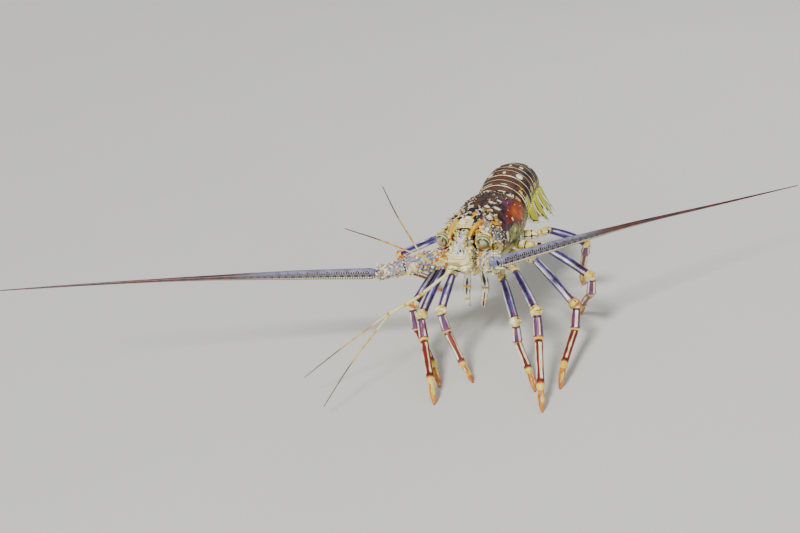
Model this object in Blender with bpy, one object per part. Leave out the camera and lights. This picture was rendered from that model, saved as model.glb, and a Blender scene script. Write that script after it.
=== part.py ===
"""Caribbean spiny lobster, life size, standing on its ten legs with the tail tucked under.

The body frame has the animal facing -Y with its left side at +X and +Z up. Its origin is on the
midline at the rear edge of the carapace, level with the sternum. An empty carries every piece
from the body frame to the stance, with the feet on z = 0.
"""

import math
import random

import bmesh
import bpy
import numpy as np
from mathutils import Vector

# Driving dimensions, in metres and degrees
CARAPACE_LENGTH = 0.100
BODY_HEIGHT = 0.096
STANCE_X = 0.0959
STANCE_Y = 0.0571
GAP = 0.0003

CARAPACE_SIDES = 26
CARAPACE_RINGS = 25
GROOVE_T = 0.61
GROOVE_SWEEP = 0.12
GROOVE_DEPTH = 0.0026
GROOVE_WIDTH = 0.035
SPINE_SIDES = 5
SPINE_SEED = 7
BROW_SPINE = 0.0125
NECK_SPINE = 0.0042
SPINE_SHARE = 0.24
ANTENNA_SPINE = 0.0058
SPINULE = 0.0017
SPINULE_RADIUS = 0.0009
SPINULE_TURNS = (35.0, 145.0)
SPINULES_PER_STEP = 4

FACE_Y = -CARAPACE_LENGTH
HORN_RADIUS = 0.0062
HORN_ROOT = (0.0135, -0.0860, 0.0485)
HORN_TIP = (0.0118, -0.1190, 0.0470)
HORN_ARCH = 0.0035
HORN_STEPS = 5
PLATE_SPINE = 0.0085
EYE_RADIUS = 0.0078
EYE_X = 0.0235
EYE_Z = 0.0405
EYE_AHEAD = 0.0078
STALK_RADIUS = 0.0040
ANTENNA_X = 0.0250
ANTENNA_Z = 0.0185
PEDUNCLE_RADII = (0.0108, 0.0100, 0.0088, 0.0074)
PEDUNCLE_LENGTHS = (0.020, 0.020, 0.033)
# Radius of an antenna's whip at shares of its length
FLAGELLUM_RADII = ((0.0, 0.0062), (0.21, 0.0053), (0.33, 0.0041), (0.44, 0.0028),
                   (0.60, 0.0018), (0.78, 0.0012), (1.0, 0.0005))
ANTENNULE_RADIUS = 0.0021
ANTENNULE_WHIP_RADII = (0.0009, 0.0004)
ANTENNULE_WHIP_STEPS = 7
ANTENNULE_FORK = 0.0011

TAIL_LENGTHS = (0.018, 0.022, 0.022, 0.021, 0.020, 0.021)
TAIL_SLOPES = (22.0, 11.0, 0.0, -18.0, -40.0, -64.0)
TAIL_HALF_WIDTHS = (0.0315, 0.0318, 0.0312, 0.0300, 0.0280, 0.0250, 0.0215)
TAIL_DEPTHS = (0.0310, 0.0310, 0.0300, 0.0285, 0.0260, 0.0220, 0.0165)
TAIL_ROOT_Z = 0.0565
PLEURON_DROPS = (0.024, 0.041, 0.041, 0.039, 0.031, 0.012)
PLEURON_FLARES = (0.0085, 0.0145, 0.0190, 0.0250, 0.0190, 0.0060)
PLEURON_START = 0.16
PLEURON_TIP = 0.80
PLEURON_END = 1.12
PLEURON_SWEEP = 0.0120
PLEURON_WALL = 0.0022
TAIL_ARC = 12
TAIL_GROOVE = 0.0011
TAIL_STEP = 0.0012
PLANE_LAG = 0.62
TAIL_END_SLOPE = -58.0
TAIL_YAW = 2.0

TELSON_LENGTH = 0.048
TELSON_WIDTH = 0.027
UROPOD_LENGTH = 0.046
UROPOD_WIDTH = 0.023
FAN_SLOPE = -122.0
FAN_THICKNESS = 0.0024
FAN_LAYER = 0.0032
FAN_RIB = 0.0003
# Width of a fan blade, as a share of its greatest width, at shares of its length
FAN_OUTLINE = ((0.0, 0.34), (0.12, 0.48), (0.35, 0.80), (0.62, 1.0), (0.85, 0.90),
               (0.97, 0.62), (1.0, 0.40))

# For legs 1 to 5 of either side: root on the left side, and the lengths of
# ischium, merus, carpus, propodus and dactyl
LEG_ROOTS = (
    (0.024, -0.076, -0.005),
    (0.031, -0.062, -0.004),
    (0.037, -0.047, -0.002),
    (0.041, -0.031, 0.002),
    (0.041, -0.015, 0.006),
)
LEG_LENGTHS = (
    (0.024, 0.056, 0.022, 0.040, 0.022),
    (0.026, 0.072, 0.027, 0.056, 0.024),
    (0.026, 0.072, 0.026, 0.055, 0.024),
    (0.025, 0.065, 0.024, 0.050, 0.023),
    (0.024, 0.056, 0.022, 0.046, 0.022),
)
# Plan angle of ischium and merus, slopes of both, plan angle from the knee on,
# slope of carpus, slope of dactyl; plan angles turn from sideways to the rear
LEFT_POSES = (
    (-57, -12, -34, -53, -88, -45),
    (-53, -3, -15, -72, -58, -48),
    (-26, 4, -34, -88, -64, -46),
    (-13, 9, -25, 122, -74, -58),
    (43, 8, -31, 118, -52, -78),
)
RIGHT_POSES = (
    (-96, -5, -20, -150, -70, -48),
    (-82, 10, -32, -119, -44, -46),
    (-76, 0, -26, -132, -72, -48),
    (2, 8, -26, 116, -72, -62),
    (46, 8, -30, 112, -52, -78),
)
COXA_RADIUS = 0.0058
ISCHIUM_RADIUS = 0.0046
MERUS_RADIUS = 0.0049
KNEE_RADIUS = 0.0060
PROPODUS_RADIUS = 0.0041
DACTYL_RADIUS = 0.0036
CLAW_RADIUS = 0.0008

OBJECT_NAME = "spiny_lobster"


def clear_scene():
    """Remove whatever the scene holds."""
    for obj in list(bpy.data.objects):
        bpy.data.objects.remove(obj, do_unlink=True)


def principled(name, colour, roughness):
    """A Principled material of one colour, with no metal in it."""
    material = bpy.data.materials.new(name)
    material.use_nodes = True
    shader = material.node_tree.nodes["Principled BSDF"]
    shader.inputs["Base Color"].default_value = (*colour, 1.0)
    shader.inputs["Roughness"].default_value = roughness
    shader.inputs["Metallic"].default_value = 0.0
    return material


def make_materials():
    """The materials, one for each kind of sub-part."""
    return {
        "shell_brown": principled("shell_brown", (0.10, 0.045, 0.04), 0.42),
        "face_cream": principled("face_cream", (0.62, 0.58, 0.42), 0.45),
        "underside_cream": principled("underside_cream", (0.60, 0.56, 0.44), 0.50),
        "eye_dark": principled("eye_dark", (0.03, 0.03, 0.025), 0.15),
        "antenna_lilac": principled("antenna_lilac", (0.22, 0.20, 0.32), 0.45),
        "flagellum_brown": principled("flagellum_brown", (0.12, 0.07, 0.08), 0.50),
        "antennule_yellow": principled("antennule_yellow", (0.62, 0.50, 0.18), 0.45),
        "leg_purple": principled("leg_purple", (0.12, 0.07, 0.20), 0.38),
        "leg_red": principled("leg_red", (0.24, 0.06, 0.05), 0.38),
        "dactyl_orange": principled("dactyl_orange", (0.55, 0.24, 0.04), 0.45),
        "abdomen_brown": principled("abdomen_brown", (0.13, 0.06, 0.05), 0.38),
        "fan_brown": principled("fan_brown", (0.20, 0.09, 0.05), 0.45),
    }


def smooth_mix(table, t):
    """The value at t in a short table of (t, value) pairs, eased between them."""
    xs = [row[0] for row in table]
    ys = [row[1] for row in table]
    index = int(np.clip(np.searchsorted(xs, t) - 1, 0, len(xs) - 2))
    share = (t - xs[index]) / (xs[index + 1] - xs[index])
    share = min(max(share, 0.0), 1.0)
    eased = share * share * (3.0 - 2.0 * share)
    blend = 0.5 * (share + eased)
    return ys[index] + (ys[index + 1] - ys[index]) * blend


def direction(azimuth, slope, side=1):
    """Unit vector from a plan angle (0 sideways, 90 to the rear) and a slope, in degrees."""
    plan = math.radians(azimuth)
    rise = math.radians(slope)
    return Vector((
        side * math.cos(plan) * math.cos(rise),
        math.sin(plan) * math.cos(rise),
        math.sin(rise),
    ))


class Builder:
    """Holds the collections, the materials and the empty that every piece rides on."""

    def __init__(self):
        clear_scene()
        self.parts = bpy.data.collections.new(OBJECT_NAME)
        self.cutters = bpy.data.collections.new("cutters")
        bpy.context.scene.collection.children.link(self.parts)
        bpy.context.scene.collection.children.link(self.cutters)
        self.materials = make_materials()
        self.stance = bpy.data.objects.new("stance", None)
        self.stance.location = (STANCE_X, STANCE_Y, BODY_HEIGHT)
        self.parts.objects.link(self.stance)

    def mesh_object(self, name, mesh):
        """A loose object in the cutters' collection."""
        obj = bpy.data.objects.new(name, mesh)
        self.cutters.objects.link(obj)
        return obj

    def finish(self, obj, name, material):
        """Name the piece, shade it and hand it to the stance."""
        obj.name = name
        obj.data.name = name
        obj.data.materials.clear()
        obj.data.materials.append(self.materials[material])
        obj.data.shade_smooth()
        obj.data.set_sharp_from_angle(angle=math.radians(40.0))
        self.cutters.objects.unlink(obj)
        self.parts.objects.link(obj)
        obj.parent = self.stance
        return obj

    def loft(self, rings):
        """One closed surface through rings of equal count, capped at both ends."""
        work = bmesh.new()
        rows = [[work.verts.new(point) for point in ring] for ring in rings]
        count = len(rows[0])
        for low, high in zip(rows, rows[1:]):
            for i in range(count):
                j = (i + 1) % count
                work.faces.new((low[i], low[j], high[j], high[i]))
        work.faces.new(rows[0][::-1])
        work.faces.new(rows[-1])
        bmesh.ops.recalc_face_normals(work, faces=work.faces)
        mesh = bpy.data.meshes.new("loft")
        work.to_mesh(mesh)
        work.free()
        return self.mesh_object("loft", mesh)

    def tube(self, points, radii, bevel_resolution=2):
        """A tapering tube along points, from a bevelled curve made into a closed mesh."""
        curve = bpy.data.curves.new("tube", "CURVE")
        curve.dimensions = "3D"
        curve.bevel_depth = 1.0
        curve.bevel_resolution = bevel_resolution
        curve.use_fill_caps = True
        spline = curve.splines.new("POLY")
        spline.points.add(len(points) - 1)
        for knot, point, radius in zip(spline.points, points, radii):
            knot.co = (*point, 1.0)
            knot.radius = radius
        guide = bpy.data.objects.new("tube", curve)
        self.cutters.objects.link(guide)
        bpy.context.view_layer.update()
        evaluated = guide.evaluated_get(bpy.context.evaluated_depsgraph_get())
        mesh = bpy.data.meshes.new_from_object(evaluated)
        work = bmesh.new()
        work.from_mesh(mesh)
        bmesh.ops.remove_doubles(work, verts=work.verts, dist=0.000002)
        bmesh.ops.recalc_face_normals(work, faces=work.faces)
        work.to_mesh(mesh)
        work.free()
        obj = self.mesh_object("tube_mesh", mesh)
        obj.matrix_world = guide.matrix_world
        bpy.data.objects.remove(guide, do_unlink=True)
        bpy.data.curves.remove(curve)
        return obj

    def spine(self, root, heading, length, radius, sink):
        """A cone of few sides with its root sunk below the surface that it grows from."""
        work = bmesh.new()
        bmesh.ops.create_cone(
            work, cap_ends=True, segments=SPINE_SIDES, radius1=radius, radius2=0.0,
            depth=length + sink,
        )
        turn = Vector((0.0, 0.0, 1.0)).rotation_difference(heading).to_matrix()
        middle = Vector(root) + heading * ((length - sink) / 2.0)
        for vert in work.verts:
            vert.co = turn @ vert.co + middle
        bmesh.ops.recalc_face_normals(work, faces=work.faces)
        mesh = bpy.data.meshes.new("spine")
        work.to_mesh(mesh)
        work.free()
        return self.mesh_object("spine", mesh)

    def apply_boolean(self, obj, operation, others, solver="EXACT"):
        """Join or cut the object by a collection of closed meshes, then remove them."""
        tools = bpy.data.collections.new("tools")
        bpy.context.scene.collection.children.link(tools)
        for other in others:
            tools.objects.link(other)
        modifier = obj.modifiers.new("fuse", "BOOLEAN")
        modifier.operation = operation
        modifier.solver = solver
        modifier.operand_type = "COLLECTION"
        modifier.collection = tools
        bpy.context.view_layer.update()
        evaluated = obj.evaluated_get(bpy.context.evaluated_depsgraph_get())
        mesh = bpy.data.meshes.new_from_object(evaluated)
        obj.modifiers.clear()
        obj.data = mesh
        for other in list(others):
            bpy.data.objects.remove(other, do_unlink=True)
        bpy.data.collections.remove(tools)
        self.keep_largest(obj)
        return obj

    def keep_largest(self, obj):
        """Keep only the closed surface with the most volume."""
        work = bmesh.new()
        work.from_mesh(obj.data)
        left = set(work.verts)
        shells = []
        while left:
            seed = left.pop()
            shell = {seed}
            stack = [seed]
            while stack:
                vert = stack.pop()
                for edge in vert.link_edges:
                    other = edge.other_vert(vert)
                    if other in left:
                        left.remove(other)
                        shell.add(other)
                        stack.append(other)
            shells.append(shell)

        def reach(shell):
            box = np.array([tuple(vert.co) for vert in shell])
            return float(np.prod(np.ptp(box, axis=0) + 1e-6))

        keep = max(shells, key=reach)
        drop = [vert for vert in work.verts if vert not in keep]
        bmesh.ops.delete(work, geom=drop, context="VERTS")
        bmesh.ops.recalc_face_normals(work, faces=work.faces)
        work.to_mesh(obj.data)
        work.free()

    def trim(self, obj, point, normal):
        """Cut away what lies past a plane and close the cut with a flat face."""
        work = bmesh.new()
        work.from_mesh(obj.data)
        bmesh.ops.bisect_plane(
            work, geom=list(work.verts) + list(work.edges) + list(work.faces),
            dist=0.000001, plane_co=point, plane_no=normal, clear_outer=True,
        )
        rim = [edge for edge in work.edges if edge.is_boundary]
        bmesh.ops.holes_fill(work, edges=rim, sides=0)
        bmesh.ops.recalc_face_normals(work, faces=work.faces)
        work.to_mesh(obj.data)
        work.free()
        return obj


# Half widths, tops, undersides and heights of the widest line of the carapace,
# as shares of its length, from the rear edge (0) to the brow (1)
HALF_WIDTHS = ((0.0, 0.340), (0.1, 0.368), (0.25, 0.382), (0.4, 0.372), (0.52, 0.348),
               (0.65, 0.345), (0.8, 0.325), (0.92, 0.300), (1.0, 0.275))
TOPS = ((0.0, 0.565), (0.2, 0.600), (0.4, 0.610), (0.52, 0.600), (0.62, 0.612),
        (0.8, 0.595), (0.92, 0.565), (1.0, 0.530))
UNDERSIDES = ((0.0, 0.060), (0.15, 0.020), (0.5, 0.020), (0.8, 0.030), (1.0, 0.050))
WAISTS = ((0.0, 0.26), (0.3, 0.24), (0.7, 0.24), (1.0, 0.25))


def carapace_point(t, angle, grow=0.0):
    """A point of the carapace: t runs from rear to brow, angle from the left side over the back."""
    half = smooth_mix(HALF_WIDTHS, t) * CARAPACE_LENGTH
    top = smooth_mix(TOPS, t) * CARAPACE_LENGTH
    low = smooth_mix(UNDERSIDES, t) * CARAPACE_LENGTH
    waist = smooth_mix(WAISTS, t) * CARAPACE_LENGTH
    c = math.cos(angle)
    s = math.sin(angle)
    lean = math.copysign(abs(c) ** 0.86, c)
    if s >= 0.0:
        z = waist + (top - waist) * s ** 0.90
        x = half * lean
    else:
        z = waist + (waist - low) * math.copysign(abs(s) ** 0.80, s)
        x = half * lean * (1.0 - 0.12 * s * s)
    sweep = GROOVE_SWEEP * (1.0 - max(s, 0.0)) ** 1.2
    offset = (t - GROOVE_T - sweep) / GROOVE_WIDTH
    dip = GROOVE_DEPTH * math.exp(-offset * offset) * min(1.0, max(0.0, s + 0.5))
    centre = 0.5 * (top + low)
    away = Vector((x, 0.0, z - centre))
    length = away.length
    away = away * ((length - dip + grow) / length)
    return Vector((away.x, -t * CARAPACE_LENGTH, centre + away.z))


def carapace_normal(t, angle):
    """Outward direction of the carapace at a point."""
    step = 0.01
    along = carapace_point(min(t + step, 1.0), angle) - carapace_point(max(t - step, 0.0), angle)
    around = carapace_point(t, angle + step) - carapace_point(t, angle - step)
    return around.cross(along).normalized()


def carapace_core(builder, grow=0.0, reach=0.0):
    """The carapace without its spines, grown outward for a cutter."""
    rings = []
    for i in range(CARAPACE_RINGS):
        t = i / (CARAPACE_RINGS - 1)
        ring = []
        for j in range(CARAPACE_SIDES):
            angle = 2.0 * math.pi * j / CARAPACE_SIDES
            point = carapace_point(t, angle, grow)
            if i == 0:
                point.y += reach
            if i == CARAPACE_RINGS - 1:
                point.y -= reach
            ring.append(point)
        rings.append(ring)
    return builder.loft(rings)


def carapace_spines(builder, draw):
    """Rows of spines: long ones that lean forward on the brow, short ones behind the groove."""
    spines = []
    front = [(0.65 + 0.055 * k, 90.0, 16.0, True) for k in range(6)]
    rear = [(0.07 + 0.085 * k, 60.0, 19.0, False) for k in range(6)]
    for row, (station, reach, pitch, brow) in enumerate(front + rear):
        away = 8.5 + 0.5 * pitch * (row % 2)
        while away < reach:
            for side in (-1, 1):
                turn = math.radians(90.0 - side * (away + draw.uniform(-2.0, 2.0)))
                t = station + draw.uniform(-0.012, 0.012)
                size = draw.uniform(0.8, 1.15)
                if brow:
                    t += 0.06 * (away / 90.0) ** 2
                root = carapace_point(t, turn)
                under_horn = abs(abs(root.x) - HORN_ROOT[0]) < 0.008 and t > 0.82
                if t > 0.965 or under_horn:
                    continue
                length = NECK_SPINE * (1.0 - 0.4 * away / 90.0)
                if brow:
                    length = BROW_SPINE * (0.6 + 1.1 * (t - GROOVE_T)) * (1.0 - 0.3 * away / 90.0)
                length *= size
                lean = Vector((0.0, -0.75 if t < 0.8 else -0.55, 0.0))
                heading = (carapace_normal(t, turn) * 0.75 + lean).normalized()
                radius = SPINE_SHARE * length + 0.0004
                spines.append(builder.spine(root, heading, length, radius, radius + 0.0014))
            away += pitch
    return spines


def build_carapace(builder):
    """The shield over head and thorax, with its spines and the two brow horns."""
    body = carapace_core(builder)
    horns = []
    for side in (-1, 1):
        root = Vector((side * HORN_ROOT[0], HORN_ROOT[1], HORN_ROOT[2]))
        tip = Vector((side * HORN_TIP[0], HORN_TIP[1], HORN_TIP[2]))
        points = []
        radii = []
        for k in range(HORN_STEPS + 1):
            share = k / HORN_STEPS
            rise = HORN_ARCH * math.sin(share * math.pi)
            points.append(root.lerp(tip, share) + Vector((0.0, 0.0, rise)))
            radii.append(HORN_RADIUS * (1.0 - share) ** 0.75 + CLAW_RADIUS * 0.4)
        horns.append(builder.tube(points, radii))
    spines = carapace_spines(builder, random.Random(SPINE_SEED))
    builder.apply_boolean(body, "UNION", horns + spines)
    return builder.finish(body, "carapace", "shell_brown")


# Place along the body and half width of the sternum plate's sections
STERNUM_STATIONS = ((-0.006, 0.020), (-0.014, 0.030), (-0.045, 0.030), (-0.075, 0.024),
                    (-0.094, 0.016), (-0.0997, 0.014))
STERNUM_Z = 0.004
STERNUM_HEIGHT = 0.009
STERNUM_SIDES = 12


def sternum_core(builder, grow=0.0):
    """The sternum plate before the carapace is cut from it, grown outward for a cutter."""
    rings = []
    for y, half in STERNUM_STATIONS:
        ring = []
        push = 0.0
        if y == STERNUM_STATIONS[0][0]:
            push = grow
        if y == STERNUM_STATIONS[-1][0]:
            push = -grow
        for k in range(STERNUM_SIDES):
            angle = 2.0 * math.pi * k / STERNUM_SIDES
            ring.append(Vector((
                (half + grow) * math.cos(angle),
                y + push,
                STERNUM_Z + (STERNUM_HEIGHT + grow) * math.sin(angle),
            )))
        rings.append(ring)
    return builder.loft(rings)


def build_sternum(builder):
    """The plate under the thorax between the legs' roots."""
    plate = sternum_core(builder)
    builder.apply_boolean(plate, "DIFFERENCE", [carapace_core(builder, GAP)])
    return builder.finish(plate, "sternum", "underside_cream")


# Offset in front of the brow, half width, top and underside along the face
FACE_STATIONS = (
    (0.0000, 0.0100, 0.0505, 0.0000),
    (0.0100, 0.0106, 0.0480, 0.0020),
    (0.0180, 0.0122, 0.0425, 0.0070),
    (0.0245, 0.0135, 0.0360, 0.0110),
    (0.0280, 0.0118, 0.0310, 0.0150),
)


def face_core(builder, grow=0.0):
    """The wedge of the face, grown outward for a cutter."""
    rings = []
    for index, (ahead, half, top, low) in enumerate(FACE_STATIONS):
        middle = 0.5 * (top + low)
        height = 0.5 * (top - low) + grow
        ring = []
        push = grow if index == len(FACE_STATIONS) - 1 else 0.0
        for k in range(16):
            angle = 2.0 * math.pi * k / 16
            c = math.cos(angle)
            s = math.sin(angle)
            ring.append(Vector((
                (half + grow) * (1.0 - 0.30 * s) * math.copysign(abs(c) ** 0.6, c),
                FACE_Y - GAP - ahead - push,
                middle + height * math.copysign(abs(s) ** 0.7, s),
            )))
        rings.append(ring)
    return builder.loft(rings)


def build_face(builder):
    """The antennular plate with its four spines, and the mouth's frame under it."""
    face = face_core(builder)
    spines = []
    for side in (-1, 1):
        for ahead, z in ((0.0095, 0.0475), (0.0185, 0.0410)):
            heading = Vector((side * 0.15, -0.75, 0.65)).normalized()
            root = (side * 0.0060, FACE_Y - ahead, z)
            spines.append(builder.spine(root, heading, PLATE_SPINE, 0.0021, 0.0024))
    builder.apply_boolean(face, "UNION", spines)
    return builder.finish(face, "antennular_plate", "face_cream")


def build_eye(builder, side, label):
    """An eye on its short stalk, standing out from under the horn."""
    heading = Vector((side * 0.70, -0.66, 0.22)).normalized()
    root = Vector((side * (EYE_X - 0.008), FACE_Y - GAP, EYE_Z - 0.0015))
    centre = Vector((side * EYE_X, FACE_Y - EYE_AHEAD, EYE_Z))
    stalk = builder.tube(
        [root + Vector((0.0, 0.004, 0.0)), root, centre],
        [STALK_RADIUS, STALK_RADIUS, STALK_RADIUS * 1.2],
    )
    work = bmesh.new()
    bmesh.ops.create_uvsphere(work, u_segments=14, v_segments=9, radius=EYE_RADIUS)
    turn = Vector((0.0, 0.0, 1.0)).rotation_difference(heading).to_matrix()
    for vert in work.verts:
        vert.co = turn @ vert.co + centre
    mesh = bpy.data.meshes.new("globe")
    work.to_mesh(mesh)
    work.free()
    globe = builder.mesh_object("globe", mesh)
    builder.apply_boolean(stalk, "UNION", [globe])
    builder.trim(stalk, (0.0, FACE_Y - GAP, 0.0), (0.0, 1.0, 0.0))
    return builder.finish(stalk, "eye_" + label, "eye_dark")


PEDUNCLE_ENDS = {
    -1: Vector((-0.0945, -0.1385, 0.0075)),
    1: Vector((0.0580, -0.1610, 0.0420)),
}


def peduncle_path(side):
    """Joint centres of an antenna's three stout segments, from the face to the flagellum."""
    root = Vector((side * ANTENNA_X, FACE_Y, ANTENNA_Z))
    first = root + Vector((side * 0.002, -0.010, 0.0))
    end = PEDUNCLE_ENDS[side]
    total = sum(PEDUNCLE_LENGTHS)
    joints = [root, first]
    run = 0.0
    for length in PEDUNCLE_LENGTHS:
        run += length
        joints.append(first.lerp(end, run / total))
    return joints


def build_peduncle(builder, side, label):
    """The three stout segments at an antenna's root, with rings of spines."""
    joints = peduncle_path(side)
    points = []
    radii = []
    r0, r1, r2, r3 = PEDUNCLE_RADII
    sizes = ((r0 * 0.92, r0), (r0, r1 * 1.05), (r1 * 0.95, r2 * 1.08), (r2 * 0.92, r3))
    for (start, stop), (near, far) in zip(zip(joints, joints[1:]), sizes):
        for share in (0.06, 0.5, 0.90):
            points.append(start.lerp(stop, share))
            radii.append(near + (far - near) * share)
    points.insert(0, joints[0] + Vector((0.0, 0.006, 0.0)))
    radii.insert(0, r0 * 0.9)
    points.append(joints[-1] + (joints[-1] - joints[-2]).normalized() * 0.006)
    radii.append(r3)
    body = builder.tube(points, radii)
    builder.trim(body, (0.0, FACE_Y - GAP, 0.0), (0.0, 1.0, 0.0))
    ahead = (joints[-1] - joints[-2]).normalized()
    onward = flagellum_headings(side)[0]
    builder.trim(body, joints[-1] - ahead * GAP * 0.5, mitre_normal(ahead, onward))
    spines = peduncle_spines(builder, joints, sizes, onward, random.Random(SPINE_SEED + side))
    builder.apply_boolean(body, "UNION", spines)
    return builder.finish(body, "antenna_base_" + label, "antenna_lilac")


def peduncle_spines(builder, joints, sizes, onward, draw):
    """Whorls of spines round an antenna's stout segments, leaning toward its tip."""
    spines = []
    for index in range(1, len(joints) - 1):
        start = joints[index]
        stop = joints[index + 1]
        along = (stop - start).normalized()
        level = along.cross(Vector((0.0, 0.0, 1.0))).normalized()
        over = level.cross(along).normalized()
        near, far = sizes[index]
        for whorl, share in enumerate((0.34, 0.80)):
            count = 5
            for k in range(count):
                turn = 2.0 * math.pi * (k + 0.5 * whorl + 0.2 * index) / count
                away = level * math.cos(turn) + over * math.sin(turn)
                if index == len(joints) - 2 and share > 0.5 and away.dot(onward) > 0.25:
                    continue
                if index == 1 and abs(away.x) > 0.3 and away.x * start.x < 0.0:
                    continue
                size = near + (far - near) * share
                root = start.lerp(stop, share) + away * size * 0.93
                length = ANTENNA_SPINE * (0.75 + 0.4 * share) * draw.uniform(0.8, 1.15)
                heading = (away * 0.85 + along * 0.65).normalized()
                radius = 0.26 * length + 0.0003
                spines.append(builder.spine(root, heading, length, radius, radius + 0.0012))
    return spines


def mitre_normal(before, after):
    """Normal of the plane that halves the bend between two headings."""
    middle = before + after
    if middle.length < 0.4:
        middle = before
    return middle.normalized()


# Route of each flagellum past its root, chosen by eye
FLAGELLUM_ROUTES = {
    -1: (
        Vector((-0.0945, -0.1385, 0.0075)),
        Vector((-0.190, -0.1800, 0.0170)),
        Vector((-0.290, -0.2230, 0.0250)),
        Vector((-0.395, -0.2680, 0.0310)),
        Vector((-0.500, -0.3120, 0.0350)),
    ),
    1: (
        Vector((0.0580, -0.1610, 0.0420)),
        Vector((0.1060, -0.0820, 0.0330)),
        Vector((0.1630, 0.0040, 0.0230)),
        Vector((0.2330, 0.1000, 0.0100)),
        Vector((0.3080, 0.1980, -0.0020)),
    ),
}
FLAGELLUM_SPLIT = 0.34
FLAGELLUM_STEPS = 26


def smooth_route(knots, count):
    """Points spaced evenly in parameter on a smooth curve through the knots."""
    padded = [knots[0] * 2.0 - knots[1], *knots, knots[-1] * 2.0 - knots[-2]]
    spans = len(knots) - 1
    points = []
    for i in range(count + 1):
        u = spans * i / count
        k = min(int(u), spans - 1)
        f = u - k
        a, b, c, d = padded[k:k + 4]
        points.append(
            (b * 2.0 + (c - a) * f + (a * 2.0 - b * 5.0 + c * 4.0 - d) * f * f
             + (b * 3.0 - a - c * 3.0 + d) * f ** 3) * 0.5
        )
    return points


def flagellum_headings(side):
    """Headings at the root and the tip of a flagellum."""
    points = smooth_route(FLAGELLUM_ROUTES[side], FLAGELLUM_STEPS)
    return ((points[1] - points[0]).normalized(), (points[-1] - points[-2]).normalized())


def build_flagellum(builder, side, label):
    """An antenna's long whip in two lengths."""
    points = smooth_route(FLAGELLUM_ROUTES[side], FLAGELLUM_STEPS)
    joints = peduncle_path(side)
    before = (joints[-1] - joints[-2]).normalized()
    first = (points[1] - points[0]).normalized()
    radii = [smooth_mix(FLAGELLUM_RADII, i / FLAGELLUM_STEPS) for i in range(len(points))]
    split = round(FLAGELLUM_SPLIT * FLAGELLUM_STEPS)
    near = builder.tube(
        [points[0] - first * 0.008, *points[:split + 1]], [radii[0], *radii[:split + 1]]
    )
    normal = mitre_normal(before, first)
    builder.trim(near, points[0] + first * GAP, -normal)
    spinules = []
    for k in range(SPINULES_PER_STEP, SPINULES_PER_STEP * split - 2):
        place = k / SPINULES_PER_STEP
        i = int(place)
        along = (points[i + 1] - points[i]).normalized()
        level = along.cross(Vector((0.0, 0.0, 1.0))).normalized()
        over = level.cross(along).normalized()
        turn = math.radians(SPINULE_TURNS[k % 2])
        away = level * math.cos(turn) + over * math.sin(turn)
        size = radii[i] + (radii[i + 1] - radii[i]) * (place - i)
        root = points[i].lerp(points[i + 1], place - i) + away * size * 0.9
        heading = (away * 0.8 + along * 0.6).normalized()
        spinules.append(builder.spine(root, heading, SPINULE, SPINULE_RADIUS, SPINULE_RADIUS))
    builder.apply_boolean(near, "UNION", spinules)
    heading = (points[split + 1] - points[split]).normalized()
    far = builder.tube(
        [points[split] + heading * GAP, *points[split + 1:]], radii[split:],
    )
    builder.finish(near, "antenna_" + label + "_near", "antenna_lilac")
    builder.finish(far, "antenna_" + label + "_whip", "flagellum_brown")


# Joints of the antennules' three segments, then the tips of the two fine flagella
ANTENNULES = {
    "right": {
        "joints": (
            Vector((-0.0045, -0.1180, 0.0150)), Vector((-0.0390, -0.1500, -0.0090)),
            Vector((-0.0530, -0.1620, -0.0160)), Vector((-0.0690, -0.1745, -0.0230)),
        ),
        "tips": (Vector((-0.1420, -0.2450, -0.0700)), Vector((-0.1040, -0.2740, -0.0830))),
    },
    "left": {
        "joints": (
            Vector((0.0030, -0.1180, 0.0190)), Vector((-0.0010, -0.1590, 0.0350)),
            Vector((-0.0090, -0.1745, 0.0440)), Vector((-0.0140, -0.1875, 0.0590)),
        ),
        "tips": (Vector((-0.0300, -0.2140, 0.1420)), Vector((-0.0620, -0.2430, 0.1080))),
    },
}


def build_antennule(builder, label):
    """A slender three-jointed antennule and the two fine flagella at its end."""
    joints = ANTENNULES[label]["joints"]
    points = []
    radii = []
    for start, stop in zip(joints, joints[1:]):
        for share, scale in ((0.04, 0.85), (0.5, 0.8), (0.94, 1.1)):
            points.append(start.lerp(stop, share))
            radii.append(ANTENNULE_RADIUS * scale)
    body = builder.tube(points, radii)
    builder.apply_boolean(body, "DIFFERENCE", [face_core(builder, GAP)])
    builder.finish(body, "antennule_" + label, "antennule_yellow")
    end = points[-1]
    ahead = (joints[-1] - joints[-2]).normalized()
    heads = [(tip - end).normalized() for tip in ANTENNULES[label]["tips"]]
    spread = heads[0] - heads[1]
    across = (spread - ahead * spread.dot(ahead)).normalized()
    for index, tip in enumerate(ANTENNULES[label]["tips"]):
        start = end + ahead * GAP + across * (ANTENNULE_FORK * (1.0 - 2.0 * index))
        knots = (start, start.lerp(tip, 0.5) + ahead * 0.006, tip)
        route = smooth_route(knots, ANTENNULE_WHIP_STEPS)
        thick, thin = ANTENNULE_WHIP_RADII
        sizes = [
            thick + (thin - thick) * k / ANTENNULE_WHIP_STEPS
            for k in range(ANTENNULE_WHIP_STEPS + 1)
        ]
        route[0] = route[0] - (route[1] - route[0]).normalized() * 0.004
        whip = builder.tube(route, sizes)
        builder.trim(whip, end + ahead * GAP, -ahead)
        builder.finish(whip, "antennule_" + label + "_whip_" + str(index + 1), "antennule_yellow")


# Centre line and radii of a third maxilliped, on the left side
MAXILLIPED_ROUTE = (
    (0.0090, -0.0850, 0.004),
    (0.0095, -0.0850, -0.010),
    (0.0110, -0.0870, -0.024),
    (0.0105, -0.0910, -0.034),
    (0.0095, -0.0930, -0.041),
    (0.0080, -0.0900, -0.049),
)
MAXILLIPED_RADII = (0.0040, 0.0040, 0.0042, 0.0034, 0.0030, 0.0010)


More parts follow.
